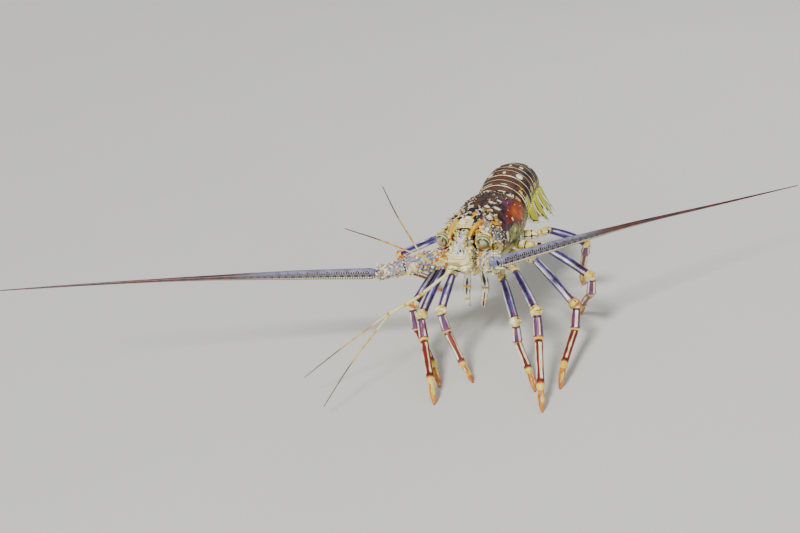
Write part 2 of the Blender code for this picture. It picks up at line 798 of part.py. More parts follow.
def build_maxilliped(builder, side, label):
    """A third maxilliped hanging under the mouth, bent inward at its knee."""
    points = [Vector((side * x, y, z)) for x, y, z in MAXILLIPED_ROUTE]
    body = builder.tube(points, MAXILLIPED_RADII)
    cutters = [sternum_core(builder, GAP), carapace_core(builder, GAP)]
    builder.apply_boolean(body, "DIFFERENCE", cutters)
    return builder.finish(body, "maxilliped_" + label, "face_cream")


def leg_joints(side, root, lengths, pose):
    """Joint centres of a leg from its root to the claw's tip on the floor.

    The slope of the propodus follows from the height that is left over.
    """
    plan, ischium, merus, lower_plan, carpus, dactyl = pose
    joints = [Vector((side * root[0], root[1], root[2]))]
    joints.append(joints[-1] + direction(plan, ischium, side) * lengths[0])
    joints.append(joints[-1] + direction(plan, merus, side) * lengths[1])
    joints.append(joints[-1] + direction(lower_plan, carpus, side) * lengths[2])
    drop = joints[-1].z + lengths[4] * math.sin(math.radians(dactyl)) + BODY_HEIGHT
    slope = -math.degrees(math.asin(drop / lengths[3]))
    joints.append(joints[-1] + direction(lower_plan, slope, side) * lengths[3])
    joints.append(joints[-1] + direction(lower_plan, dactyl, side) * lengths[4])
    return joints


def build_leg(builder, side, label, number, pose):
    """A walking leg in three pieces: root to knee, knee to claw, and the claw."""
    root = LEG_ROOTS[number]
    lengths = LEG_LENGTHS[number]
    j = leg_joints(side, root, lengths, pose)
    inward = Vector((-side * 0.010, 0.0, 0.002))
    thigh = (j[2] - j[1]).normalized()
    shin = (j[3] - j[2]).normalized()
    foot = (j[4] - j[3]).normalized()
    claw = (j[5] - j[4]).normalized()

    points = [
        j[0] + inward, j[0].lerp(j[1], 0.15), j[0].lerp(j[1], 0.42), j[0].lerp(j[1], 0.55),
        j[0].lerp(j[1], 0.95), j[1].lerp(j[2], 0.05), j[1].lerp(j[2], 0.35),
        j[1].lerp(j[2], 0.75), j[1].lerp(j[2], 0.93), j[2] + thigh * 0.006,
    ]
    radii = [
        COXA_RADIUS, COXA_RADIUS, COXA_RADIUS * 0.95, ISCHIUM_RADIUS, ISCHIUM_RADIUS * 0.9,
        MERUS_RADIUS * 0.86, MERUS_RADIUS, MERUS_RADIUS * 0.95, KNEE_RADIUS, KNEE_RADIUS,
    ]
    upper = builder.tube(points, radii)
    cutters = [sternum_core(builder, GAP), carapace_core(builder, GAP)]
    builder.apply_boolean(upper, "DIFFERENCE", cutters)
    bend = mitre_normal(thigh, shin)
    builder.trim(upper, j[2] - bend * GAP * 0.5, bend)
    builder.finish(upper, "leg_" + label + str(number + 1) + "_upper", "leg_purple")

    points = [
        j[2] - shin * 0.006, j[2].lerp(j[3], 0.35), j[2].lerp(j[3], 0.88),
        j[3].lerp(j[4], 0.08), j[3].lerp(j[4], 0.5), j[3].lerp(j[4], 0.92), j[4] + foot * 0.004,
    ]
    radii = [
        KNEE_RADIUS * 0.9, KNEE_RADIUS * 0.84, KNEE_RADIUS * 0.80,
        PROPODUS_RADIUS, PROPODUS_RADIUS * 0.95, DACTYL_RADIUS * 1.15, DACTYL_RADIUS * 1.15,
    ]
    lower = builder.tube(points, radii)
    builder.trim(lower, j[2] + bend * GAP * 0.5, -bend)
    turn = mitre_normal(foot, claw)
    builder.trim(lower, j[4] - turn * GAP * 0.5, turn)
    builder.finish(lower, "leg_" + label + str(number + 1) + "_lower", "leg_red")

    points = [
        j[4] - claw * 0.004, j[4].lerp(j[5], 0.12), j[4].lerp(j[5], 0.40),
        j[4].lerp(j[5], 0.72), j[5], j[5] + claw * 0.002,
    ]
    radii = [
        DACTYL_RADIUS * 0.85, DACTYL_RADIUS * 0.85, DACTYL_RADIUS, DACTYL_RADIUS * 0.78,
        CLAW_RADIUS, CLAW_RADIUS * 0.9,
    ]
    tip = builder.tube(points, radii)
    builder.trim(tip, j[4] + turn * GAP * 0.5, -turn)
    builder.trim(tip, (0.0, 0.0, -BODY_HEIGHT), (0.0, 0.0, -1.0))
    builder.finish(tip, "leg_" + label + str(number + 1) + "_dactyl", "dactyl_orange")


def tail_frames():
    """Points along the tail's back line and the slopes of the planes between segments."""
    points = [Vector((0.0, GAP, TAIL_ROOT_Z))]
    for length, slope in zip(TAIL_LENGTHS, TAIL_SLOPES):
        points.append(points[-1] + direction(90.0 + TAIL_YAW, slope) * length)
    slopes = [0.0]
    for before, after in zip(TAIL_SLOPES, TAIL_SLOPES[1:]):
        slopes.append(0.5 * (before + after) * PLANE_LAG)
    slopes.append(TAIL_END_SLOPE)
    return points, slopes


def tail_ring(origin, slope, half, depth, pleuron, flare, along):
    """A section of the tail: an arched back, two side plates hanging down and a belly."""
    up = direction(90.0, slope + 90.0)
    flat = direction(90.0, slope)
    points = []
    for k in range(TAIL_ARC + 1):
        angle = math.pi * k / TAIL_ARC
        points.append((half * math.cos(angle), -depth + depth * math.sin(angle) ** 0.92))
    wall = PLEURON_WALL
    left = [
        (-half - 0.45 * flare, -depth - 0.45 * pleuron),
        (-half - flare, -depth - pleuron - 0.0010),
        (-half - 0.45 * flare + wall, -depth - 0.50 * pleuron - 0.0006),
        (-half + wall * 1.6, -depth - 0.0012),
        (-half * 0.55, -depth - 0.0035),
    ]
    points.extend(left)
    points.append((0.0, -depth - 0.0045))
    points.extend([(-x, z) for x, z in reversed(left)])
    ring = []
    for x, z in points:
        below = max(0.0, -(z + depth)) if abs(x) > half * 0.9 else 0.0
        sweep = PLEURON_SWEEP * (below / max(PLEURON_DROPS)) ** 2
        ring.append(origin + Vector((x, 0.0, 0.0)) + up * z + flat * (along + sweep))
    return ring


def build_tail(builder):
    """Six overlapping shell segments, each with its cross groove and side plates."""
    points, slopes = tail_frames()
    for index in range(6):
        start = points[index]
        stop = points[index + 1]
        rings = []
        for share in (0.0, 0.16, 0.34, 0.44, 0.54, 0.80, 1.0):
            slope = slopes[index] + (slopes[index + 1] - slopes[index]) * share
            origin = start.lerp(stop, share)
            bow = TAIL_STEP * math.sin(math.pi * share)
            half = TAIL_HALF_WIDTHS[index] * (1 - share) + TAIL_HALF_WIDTHS[index + 1] * share
            depth = TAIL_DEPTHS[index] * (1 - share) + TAIL_DEPTHS[index + 1] * share
            groove = TAIL_GROOVE if share == 0.44 else 0.0
            step = bow - TAIL_STEP * (1.0 - share) - groove
            rise = (share - PLEURON_START) / (PLEURON_TIP - PLEURON_START)
            blade = min(rise, (PLEURON_END - share) / (PLEURON_END - PLEURON_TIP))
            drop = max(PLEURON_DROPS[index] * blade, 0.0004)
            flare = max(PLEURON_FLARES[index] * blade, 0.0)
            along = 0.0
            if share == 0.0:
                along = GAP * 0.5
            if share == 1.0:
                along = -GAP * 0.5
            ring = tail_ring(origin + direction(90.0, slope + 90.0) * step, slope,
                             half + step * 0.6, depth, drop, flare, along)
            rings.append(ring)
        segment = builder.loft(rings)
        builder.finish(segment, "abdomen_" + str(index + 1), "abdomen_brown")


def fan_blade(builder, root, spread, layer, length, width, ridges):
    """A ridged blade of the tail fan, turned by the spread angle in the fan's plane."""
    flat = direction(90.0, FAN_SLOPE)
    up = direction(90.0, FAN_SLOPE + 90.0)
    side = Vector((1.0, 0.0, 0.0))
    turn = math.radians(spread)
    along = flat * math.cos(turn) + side * math.sin(turn)
    across = side * math.cos(turn) - flat * math.sin(turn)
    rings = []
    for share, scale in FAN_OUTLINE:
        centre = root + along * (length * share) - up * layer
        half = 0.5 * width * scale
        top = []
        low = []
        for k in range(ridges * 2 + 1):
            u = -1.0 + k / ridges
            thick = 0.5 * FAN_THICKNESS * (1.0 - 0.75 * u * u) * (1.0 - 0.45 * share)
            rib = (FAN_RIB if k % 2 == 1 else 0.0) * min(1.0, share * 4.0)
            top.append(centre + across * (half * u) + up * (thick + rib))
            low.append(centre + across * (half * u) - up * (thick - rib))
        rings.append(top + low[::-1])
    return builder.loft(rings)


def build_fan(builder):
    """The telson and the four uropods, half closed under the tail."""
    points, slopes = tail_frames()
    flat = direction(90.0, FAN_SLOPE)
    normal = direction(90.0, slopes[-1])
    base = points[-1]
    up = direction(90.0, slopes[-1] + 90.0)
    seat = base - up * 0.0065
    pieces = (
        ("telson", 0.0, 0.0, 0.0, TELSON_LENGTH, TELSON_WIDTH, 4),
        ("uropod_left_inner", 11.0, 1.0, 0.0085, UROPOD_LENGTH, UROPOD_WIDTH, 3),
        ("uropod_right_inner", -11.0, 1.0, -0.0085, UROPOD_LENGTH, UROPOD_WIDTH, 3),
        ("uropod_left_outer", 18.0, 2.0, 0.0095, UROPOD_LENGTH, UROPOD_WIDTH, 3),
        ("uropod_right_outer", -18.0, 2.0, -0.0095, UROPOD_LENGTH, UROPOD_WIDTH, 3),
    )
    for name, spread, layer, x, length, width, ridges in pieces:
        root = seat + Vector((x, 0.0, 0.0)) - flat * 0.004
        blade = fan_blade(builder, root, spread, layer * FAN_LAYER, length + 0.004, width, ridges)
        builder.trim(blade, base + normal * GAP * 0.6, -normal)
        builder.finish(blade, name, "fan_brown")


def main():
    """Model the whole animal."""
    builder = Builder()
    build_carapace(builder)
    build_sternum(builder)
    build_face(builder)
    for side, label in ((-1, "right"), (1, "left")):
        build_eye(builder, side, label)
        build_peduncle(builder, side, label)
        build_flagellum(builder, side, label)
        build_antennule(builder, label)
        build_maxilliped(builder, side, label)
        poses = LEFT_POSES if side > 0 else RIGHT_POSES
        for number, pose in enumerate(poses):
            build_leg(builder, side, label, number, pose)
    build_tail(builder)
    build_fan(builder)


main()
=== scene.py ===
"""A life-size Caribbean spiny lobster, standing on its ten legs with the tail tucked under.

Every piece is worked out in the animal's own frame: it faces -Y, its left side is at +X, and the
origin is on the midline at the rear edge of the carapace, level with the sternum. STANCE carries
the pieces to the place where the feet stand on z = 0.
"""

import math
import random

import bpy
import numpy as np
from bpy.props import FloatProperty, FloatVectorProperty, IntProperty, PointerProperty
from mathutils import Matrix, Vector


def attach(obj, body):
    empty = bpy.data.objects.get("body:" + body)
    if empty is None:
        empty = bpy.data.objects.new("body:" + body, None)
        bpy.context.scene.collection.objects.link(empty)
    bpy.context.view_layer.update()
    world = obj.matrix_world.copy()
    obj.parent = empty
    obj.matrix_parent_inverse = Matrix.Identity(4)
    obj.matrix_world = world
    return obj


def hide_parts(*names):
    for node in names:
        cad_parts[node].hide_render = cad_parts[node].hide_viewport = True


bl_info = {
    "name": "Spiny Lobster Model",
    "version": (1, 0, 0),
    "blender": (4, 5, 0),
    "location": "View3D > Sidebar > Lobster",
    "description": "Life-size spiny lobster with its shell, spines, legs and antennae",
    "category": "Add Mesh",
}

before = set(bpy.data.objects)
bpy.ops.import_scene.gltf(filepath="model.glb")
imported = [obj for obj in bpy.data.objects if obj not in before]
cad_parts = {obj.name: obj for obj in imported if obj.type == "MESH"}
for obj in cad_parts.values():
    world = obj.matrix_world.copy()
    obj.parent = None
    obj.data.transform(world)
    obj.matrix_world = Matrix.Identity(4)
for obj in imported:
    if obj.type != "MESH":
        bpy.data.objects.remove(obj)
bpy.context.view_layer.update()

UP = np.array([0.0, 0.0, 1.0])
# A heading that no spine or knob has, so that a line across both can be found
ODD_WAY = np.array([0.31, 0.17, 0.93])
SIDES = ((-1, "right"), (1, "left"))

# Sizes in metres, shared with the solids
STANCE = np.array([0.0959, 0.0571, 0.0960])
CARAPACE_LENGTH = 0.100
GROOVE_T = 0.61
GROOVE_SWEEP = 0.12
GROOVE_DEPTH = 0.0026
GROOVE_WIDTH = 0.035
SPINE_SEED = 7
FACE_Y = -CARAPACE_LENGTH
HORN_ROOT = (0.0135, -0.0860, 0.0485)
HORN_TIP = (0.0118, -0.1190, 0.0470)
HORN_RADIUS = 0.0062
HORN_ARCH = 0.0035
EYE_RADIUS = 0.0078
EYE_X = 0.0235
EYE_Z = 0.0405
EYE_AHEAD = 0.0078
ANTENNA_X = 0.0250
ANTENNA_Z = 0.0185
PEDUNCLE_RADII = (0.0108, 0.0100, 0.0088, 0.0074)
PEDUNCLE_LENGTHS = (0.020, 0.020, 0.033)
FLAGELLUM_RADII = ((0.0, 0.0062), (0.21, 0.0053), (0.33, 0.0041), (0.44, 0.0028),
                   (0.60, 0.0018), (0.78, 0.0012), (1.0, 0.0005))
ANTENNULE_RADIUS = 0.0021
BODY_HEIGHT = 0.096

HALF_WIDTHS = ((0.0, 0.340), (0.1, 0.368), (0.25, 0.382), (0.4, 0.372), (0.52, 0.348),
               (0.65, 0.345), (0.8, 0.325), (0.92, 0.300), (1.0, 0.275))
TOPS = ((0.0, 0.565), (0.2, 0.600), (0.4, 0.610), (0.52, 0.600), (0.62, 0.612),
        (0.8, 0.595), (0.92, 0.565), (1.0, 0.530))
UNDERSIDES = ((0.0, 0.060), (0.15, 0.020), (0.5, 0.020), (0.8, 0.030), (1.0, 0.050))
WAISTS = ((0.0, 0.26), (0.3, 0.24), (0.7, 0.24), (1.0, 0.25))
FACE_STATIONS = ((0.0000, 0.0100, 0.0505, 0.0000), (0.0100, 0.0106, 0.0480, 0.0020),
                 (0.0180, 0.0122, 0.0425, 0.0070), (0.0245, 0.0135, 0.0360, 0.0110),
                 (0.0280, 0.0118, 0.0310, 0.0150))
STERNUM_STATIONS = ((-0.006, 0.020), (-0.014, 0.030), (-0.045, 0.030), (-0.075, 0.024),
                    (-0.094, 0.016), (-0.0997, 0.014))

PEDUNCLE_ENDS = {-1: (-0.0945, -0.1385, 0.0075), 1: (0.0580, -0.1610, 0.0420)}
FLAGELLUM_ROUTES = {
    -1: ((-0.0945, -0.1385, 0.0075), (-0.190, -0.1800, 0.0170), (-0.290, -0.2230, 0.0250),
         (-0.395, -0.2680, 0.0310), (-0.500, -0.3120, 0.0350)),
    1: ((0.0580, -0.1610, 0.0420), (0.1060, -0.0820, 0.0330), (0.1630, 0.0040, 0.0230),
        (0.2330, 0.1000, 0.0100), (0.3080, 0.1980, -0.0020)),
}
ANTENNULES = {
    -1: (((-0.0045, -0.1180, 0.0150), (-0.0390, -0.1500, -0.0090),
          (-0.0530, -0.1620, -0.0160), (-0.0690, -0.1745, -0.0230)),
         ((-0.1420, -0.2450, -0.0700), (-0.1040, -0.2740, -0.0830))),
    1: (((0.0030, -0.1180, 0.0190), (-0.0010, -0.1590, 0.0350),
         (-0.0090, -0.1745, 0.0440), (-0.0140, -0.1875, 0.0590)),
        ((-0.0300, -0.2140, 0.1420), (-0.0620, -0.2430, 0.1080))),
}
MAXILLIPED_ROUTE = ((0.0090, -0.0850, 0.004), (0.0095, -0.0850, -0.010),
                    (0.0110, -0.0870, -0.024), (0.0105, -0.0910, -0.034),
                    (0.0095, -0.0930, -0.041), (0.0080, -0.0900, -0.049))
MAXILLIPED_RADII = (0.0040, 0.0040, 0.0042, 0.0034, 0.0030, 0.0010)

LEG_ROOTS = ((0.024, -0.076, -0.005), (0.031, -0.062, -0.004), (0.037, -0.047, -0.002),
             (0.041, -0.031, 0.002), (0.041, -0.015, 0.006))
LEG_LENGTHS = ((0.024, 0.056, 0.022, 0.040, 0.022), (0.026, 0.072, 0.027, 0.056, 0.024),
               (0.026, 0.072, 0.026, 0.055, 0.024), (0.025, 0.065, 0.024, 0.050, 0.023),
               (0.024, 0.056, 0.022, 0.046, 0.022))
LEG_POSES = {
    1: ((-57, -12, -34, -53, -88, -45), (-53, -3, -15, -72, -58, -48),
        (-26, 4, -34, -88, -64, -46), (-13, 9, -25, 122, -74, -58), (43, 8, -31, 118, -52, -78)),
    -1: ((-96, -5, -20, -150, -70, -48), (-82, 10, -32, -119, -44, -46),
         (-76, 0, -26, -132, -72, -48), (2, 8, -26, 116, -72, -62), (46, 8, -30, 112, -52, -78)),
}
COXA_RADIUS = 0.0058
ISCHIUM_RADIUS = 0.0046
MERUS_RADIUS = 0.0049
KNEE_RADIUS = 0.0060
PROPODUS_RADIUS = 0.0041
DACTYL_RADIUS = 0.0036

TAIL_LENGTHS = (0.018, 0.022, 0.022, 0.021, 0.020, 0.021)
TAIL_SLOPES = (22.0, 11.0, 0.0, -18.0, -40.0, -64.0)
TAIL_HALF_WIDTHS = (0.0315, 0.0318, 0.0312, 0.0300, 0.0280, 0.0250, 0.0215)
TAIL_DEPTHS = (0.0310, 0.0310, 0.0300, 0.0285, 0.0260, 0.0220, 0.0165)
TAIL_ROOT_Z = 0.0565
PLEURON_DROPS = (0.024, 0.041, 0.041, 0.039, 0.031, 0.012)
PLEURON_FLARES = (0.0085, 0.0145, 0.0190, 0.0250, 0.0190, 0.0060)
PLEURON_START = 0.16
PLEURON_TIP = 0.80
PLEURON_END = 1.12
PLEURON_SWEEP = 0.0120
PLEURON_WALL = 0.0022
PLEURON_FULLNESS = 0.42
PLANE_LAG = 0.62
TAIL_END_SLOPE = -58.0
TAIL_YAW = 2.0
TELSON_LENGTH = 0.048
TELSON_WIDTH = 0.027
UROPOD_LENGTH = 0.046
UROPOD_WIDTH = 0.023
FAN_SLOPE = -122.0
FAN_THICKNESS = 0.0024
FAN_LAYER = 0.0032
FAN_OUTLINE = ((0.0, 0.34), (0.12, 0.48), (0.35, 0.80), (0.62, 1.0), (0.85, 0.90),
               (0.97, 0.62), (1.0, 0.40))

# Oval patches of the shield: place t, degrees from the midline, half length, half width
PALE_SPOTS = ((0.64, 84.0, 0.030, 7.0), (0.52, 30.0, 0.022, 6.0), (0.45, 16.0, 0.022, 6.0),
              (0.56, 12.0, 0.018, 6.0), (0.44, 66.0, 0.014, 4.0), (0.09, 30.0, 0.050, 9.0),
              (0.02, 14.0, 0.028, 9.0), (0.36, 24.0, 0.018, 6.0), (0.78, 22.0, 0.016, 6.0),
              (0.70, 31.0, 0.015, 5.0), (0.84, 30.0, 0.018, 5.0), (0.74, 62.0, 0.014, 4.0))
GOLD_PATCHES = ((0.715, 50.0, 0.050, 11.0), (0.01, 47.0, 0.045, 9.0), (0.80, 12.0, 0.030, 5.0),
                (0.93, 24.0, 0.040, 6.0), (0.66, 20.0, 0.016, 5.0), (0.95, 52.0, 0.030, 9.0))
CREAM_PATCHES = ((0.86, 95.0, 0.075, 12.0), (0.96, 76.0, 0.045, 12.0),
                 (0.97, 38.0, 0.035, 12.0), (0.60, 24.0, 0.018, 5.0))
LILAC_PATCHES = ((0.895, 42.0, 0.072, 17.0), (0.845, 71.0, 0.085, 18.0),
                 (0.90, 110.0, 0.05, 12.0))
PURPLE_PATCHES = ((0.78, 30.0, 0.09, 22.0),)
FLANK_PITS = ((0.28, 66.0, 0.012, 4.0), (0.36, 80.0, 0.010, 3.5), (0.47, 62.0, 0.010, 3.0),
              (0.20, 84.0, 0.012, 4.0), (0.52, 86.0, 0.011, 3.0), (0.31, 94.0, 0.010, 3.0),
              (0.43, 92.0, 0.012, 3.5), (0.58, 80.0, 0.009, 3.0), (0.15, 72.0, 0.010, 3.0),
              (0.38, 104.0, 0.010, 3.0))
# Upper and lower edge of the red patch, in degrees from the midline
FLANK_TOP = ((0.0, 62.0), (0.04, 50.0), (0.12, 36.0), (0.34, 29.0), (0.50, 38.0),
             (0.60, 56.0), (0.70, 82.0), (1.0, 92.0))
FLANK_FOOT = ((0.0, 64.0), (0.06, 74.0), (0.18, 86.0), (0.30, 88.0), (0.42, 80.0),
              (0.55, 72.0), (0.68, 70.0), (1.0, 92.0))
# Pale spots of the tail: segment, share of its length, degrees over the back, size
TAIL_SPOTS = ((1, 0.70, 55.0, 0.018), (1, 0.70, 125.0, 0.016), (1, 0.69, 90.0, 0.008),
              (2, 0.68, 62.0, 0.010), (2, 0.68, 118.0, 0.010), (2, 0.66, 88.0, 0.007),
              (3, 0.74, 52.0, 0.012), (3, 0.74, 128.0, 0.012), (4, 0.72, 56.0, 0.010),
              (4, 0.72, 124.0, 0.010), (5, 0.6, 60.0, 0.010), (5, 0.6, 120.0, 0.010))

# Radius along a segment, from joint to joint, as a share of the segment's own radius
BASE_PROFILE = ((-0.03, 0.55), (0.0, 0.84), (0.06, 0.97), (0.45, 0.98), (0.80, 1.0),
                (0.93, 1.07), (0.98, 1.03), (1.02, 0.70))
ANTENNULE_PROFILE = ((-0.02, 0.4), (0.03, 0.80), (0.5, 0.78), (0.88, 0.95), (0.95, 1.12),
                     (1.0, 0.8))
SWIMMERET_PROFILE = ((0.0, 0.30), (0.25, 0.75), (0.6, 1.0), (0.9, 0.7), (1.0, 0.2))
COXA = ((0.0, 0.98), (0.5, 1.02), (0.85, 1.03), (0.95, 0.98), (1.0, 0.80))
ISCHIUM = ((0.0, 0.70), (0.10, 0.95), (0.6, 1.0), (0.86, 1.10), (0.95, 1.06), (1.0, 0.70))
MERUS = ((0.0, 0.62), (0.03, 0.84), (0.12, 0.88), (0.40, 1.0), (0.75, 0.97), (0.88, 1.02),
         (0.93, 1.28), (0.965, 1.40), (0.99, 1.30), (1.0, 1.05), (1.02, 0.60))
CARPUS = ((-0.06, 0.50), (0.0, 0.80), (0.10, 0.84), (0.35, 0.95), (0.80, 1.02), (0.92, 1.10),
          (0.98, 1.02), (1.02, 0.62))
PROPODUS = ((-0.03, 0.55), (0.02, 0.96), (0.10, 1.03), (0.50, 0.96), (0.86, 0.98), (0.95, 1.10),
            (1.0, 0.98), (1.03, 0.50))
DACTYL = ((-0.04, 0.55), (0.03, 0.92), (0.12, 0.88), (0.38, 1.04), (0.70, 0.80), (0.90, 0.48),
          (1.0, 0.24))

# Where the photograph's camera sees the body's middle, in pixels, and its focal length
PICTURE_MIDDLE = (400.0, 266.5)
BODY_PIXEL = (483.45, 228.27)
FOCAL_PIXELS = 1000.0
FLOOR_REACH = 9.0
FLOOR_CELLS = 24


def tone(red, green, blue):
    """Linear colour of a screen colour from 0 to 255: ((c / 255 + 0.055) / 1.055) ** 2.4."""
    return tuple(((c / 255.0 + 0.055) / 1.055) ** 2.4 for c in (red, green, blue))


def colour_property(name, description, default):
    """A colour that the user can change."""
    return FloatVectorProperty(name=name, description=description, default=default,
                               subtype="COLOR", size=3, min=0.0, max=1.0)


def length_property(name, description, default):
    """A length that the user can change, in metres."""
    return FloatProperty(name=name, description=description, default=default,
                         subtype="DISTANCE", unit="LENGTH", min=0.0)


class LobsterSizes(bpy.types.PropertyGroup):
    """Sizes of the shell's fine detail."""

    brow_spine: length_property("Brow spine", "Length of the longest spines on the brow", 0.0125)
    neck_spine: length_property("Neck spine", "Length of the spines behind the groove", 0.0042)
    antenna_spine: length_property("Antenna spine", "Spines on an antenna's stout base", 0.0058)
    spinule: length_property("Spinule", "Small points along an antenna's whip", 0.0021)
    bristle: length_property("Bristle", "Bristles on the claws and mouthparts", 0.0030)
    annulus: length_property("Annulus", "Length of one ring of an antenna's whip", 0.0027)
    shell_rows: IntProperty(name="Shell rows", description="Mesh rows along the carapace",
                            default=220, min=40, max=260)
    shell_columns: IntProperty(name="Shell columns", description="Mesh columns round it",
                               default=330, min=60, max=360)


class LobsterColours(bpy.types.PropertyGroup):
    """Colours of the shell."""

    dark: colour_property("Dark shell", "Darkest tone of the back", tone(30, 16, 24))
    brown: colour_property("Brown shell", "Lighter tone of the back", tone(92, 54, 36))
    flank: colour_property("Flank", "Red patch on the carapace's side", tone(122, 32, 2))
    ember: colour_property("Ember", "Brightest tone of the red patch", tone(198, 92, 2))
    olive: colour_property("Olive", "Lower side of the carapace", tone(166, 164, 88))
    moss: colour_property("Moss", "Margin of the carapace", tone(46, 68, 52))
    cream: colour_property("Cream", "Face and pale marks", tone(236, 228, 166))
    white: colour_property("White", "Spots and spine tips", tone(248, 246, 236))
    lilac: colour_property("Lilac", "Face plate and antennae", tone(150, 148, 184))
    slate: colour_property("Slate", "Blue-grey patches and whips", tone(106, 118, 132))
    lime: colour_property("Lime", "Side plates of the tail", tone(188, 196, 16))
    gold: colour_property("Gold", "Knees, claws and yellow marks", tone(222, 190, 20))
    orange: colour_property("Orange", "Horns and joints", tone(206, 104, 4))
    purple: colour_property("Leg purple", "Upper legs", tone(58, 36, 104))
    blue: colour_property("Leg blue", "Upper legs, lighter tone", tone(104, 92, 172))
    red: colour_property("Leg red", "Lower legs and whips", tone(122, 32, 24))


class LobsterStage(bpy.types.PropertyGroup):
    """Camera, floor and light."""

    lens: FloatProperty(name="Lens", description="Focal length of the camera",
                        default=0.045, subtype="DISTANCE_CAMERA", unit="CAMERA")
    distance: length_property("Distance", "Camera to the middle of the body", 1.13466)
    azimuth: FloatProperty(name="Azimuth", description="Camera's turn to the animal's left",
                           default=math.radians(23.32), subtype="ANGLE", unit="ROTATION")
    elevation: FloatProperty(name="Elevation", description="Camera's height above the animal",
                             default=math.radians(22.46), subtype="ANGLE", unit="ROTATION")
    roll: FloatProperty(name="Roll", description="Camera's roll",
                        default=math.radians(5.94), subtype="ANGLE", unit="ROTATION")
    floor: colour_property("Floor", "Colour of the floor", tone(222, 222, 218))
    key: FloatProperty(name="Key light", description="Strength of the key light", default=3.3,
                       min=0.0)
    fill: FloatProperty(name="Fill light", description="Power of the fill lights", default=5.0,
                        subtype="POWER", unit="POWER", min=0.0)


# Shapes in numbers


def unit(vectors):
    """Vectors scaled to length one."""
    size = np.linalg.norm(vectors, axis=-1, keepdims=True)
    return vectors / np.maximum(size, 1e-12)


def ramp(low, high, values):
    """Smooth step: 0 below low, 1 above high, 3x^2 - 2x^3 between."""
    x = np.clip((values - low) / (high - low), 0.0, 1.0)
    return x * x * (3.0 - 2.0 * x)


def hill(middle, width, values):
    """Bell curve exp(-((v - middle) / width)^2)."""
    return np.exp(-(((values - middle) / width) ** 2))


def eased(table, t):
    """Values at t in a table of (t, value), half linear and half smooth step between them."""
    xs, ys = np.array(table, float).T
    t = np.asarray(t, float)
    index = np.clip(np.searchsorted(xs, t) - 1, 0, len(xs) - 2)
    share = np.clip((t - xs[index]) / (xs[index + 1] - xs[index]), 0.0, 1.0)
    blend = 0.5 * (share + share * share * (3.0 - 2.0 * share))
    return ys[index] + (ys[index + 1] - ys[index]) * blend


def most(first, *others):
    """Highest of several masks at each point."""
    for other in others:
        first = np.maximum(first, other)
    return first


def vectors(*parts):
    """Vectors from their parts, each a number or an array."""
    return np.stack(np.broadcast_arrays(*parts), -1)


def circle(count):
    """Angles of a full turn, as one row."""
    return np.linspace(0.0, 2.0 * np.pi, count, endpoint=False)[None, :]


def between(start, stop, share):
    """Points at shares of the line from start to stop."""
    return start + (stop - start) * np.asarray(share)[..., None]


def crosswise(ahead, guide=UP):
    """Two directions across a heading: level with the guide's plane, and over it."""
    level = unit(np.cross(ahead, guide))
    return level, np.cross(level, ahead)


def spokes(level, over, turn):
    """Directions round a heading: level cos(turn) + over sin(turn)."""
    return level * np.cos(turn)[..., None] + over * np.sin(turn)[..., None]


def direction(azimuth, slope, side=1):
    """Unit vector of a plan angle (0 sideways, 90 to the rear) and a slope, in degrees."""
    plan = np.radians(azimuth)
    rise = np.radians(slope)
    return np.array([side * np.cos(plan) * np.cos(rise), np.sin(plan) * np.cos(rise),
                     np.sin(rise)])


def smooth_route(knots, share):
    """Points at shares 0 to 1 of a cubic curve that passes through the knots."""
    knots = np.array(knots, float)
    padded = np.concatenate([[2 * knots[0] - knots[1]], knots, [2 * knots[-1] - knots[-2]]])
    spans = len(knots) - 1
    u = np.clip(np.asarray(share, float), 0.0, 1.0) * spans
    k = np.minimum(u.astype(int), spans - 1)
    f = (u - k)[:, None]
    a, b, c, d = padded[k], padded[k + 1], padded[k + 2], padded[k + 3]
    return 0.5 * (2 * b + (c - a) * f + (2 * a - 5 * b + 4 * c - d) * f * f
                  + (3 * b - a - 3 * c + d) * f ** 3)


def ripple(points, scale, seed, waves=28):
    """Smooth noise near -1 to 1: a sum of sine waves of random headings, lengths and phases."""
    draw = np.random.default_rng(seed)
    heads = unit(draw.normal(size=(waves, 3))) * scale * draw.uniform(0.5, 1.5, (waves, 1))
    phase = draw.uniform(0.0, 2.0 * np.pi, waves)
    return np.sin(points @ heads.T + phase).sum(-1) * 1.1 / math.sqrt(waves)


def sweep(path, radii, guide, sides, flat=1.0, shape=None):
    """Rings round a path: path + r (cos a * side + flat sin a * up), side across the guide."""
    path = np.asarray(path, float)
    tangent = unit(np.gradient(path, axis=0))
    side = unit(np.cross(tangent, np.asarray(guide, float)))
    up = np.cross(side, tangent)
    angle = circle(sides)
    size = np.asarray(radii, float)[:, None] * np.ones_like(angle)
    if shape is not None:
        size = size * shape(np.linspace(0.0, 1.0, len(path))[:, None], angle)
    ring = (side[:, None] * (np.cos(angle) * size)[..., None]
            + up[:, None] * (np.sin(angle) * size * flat)[..., None])
    return path[:, None] + ring


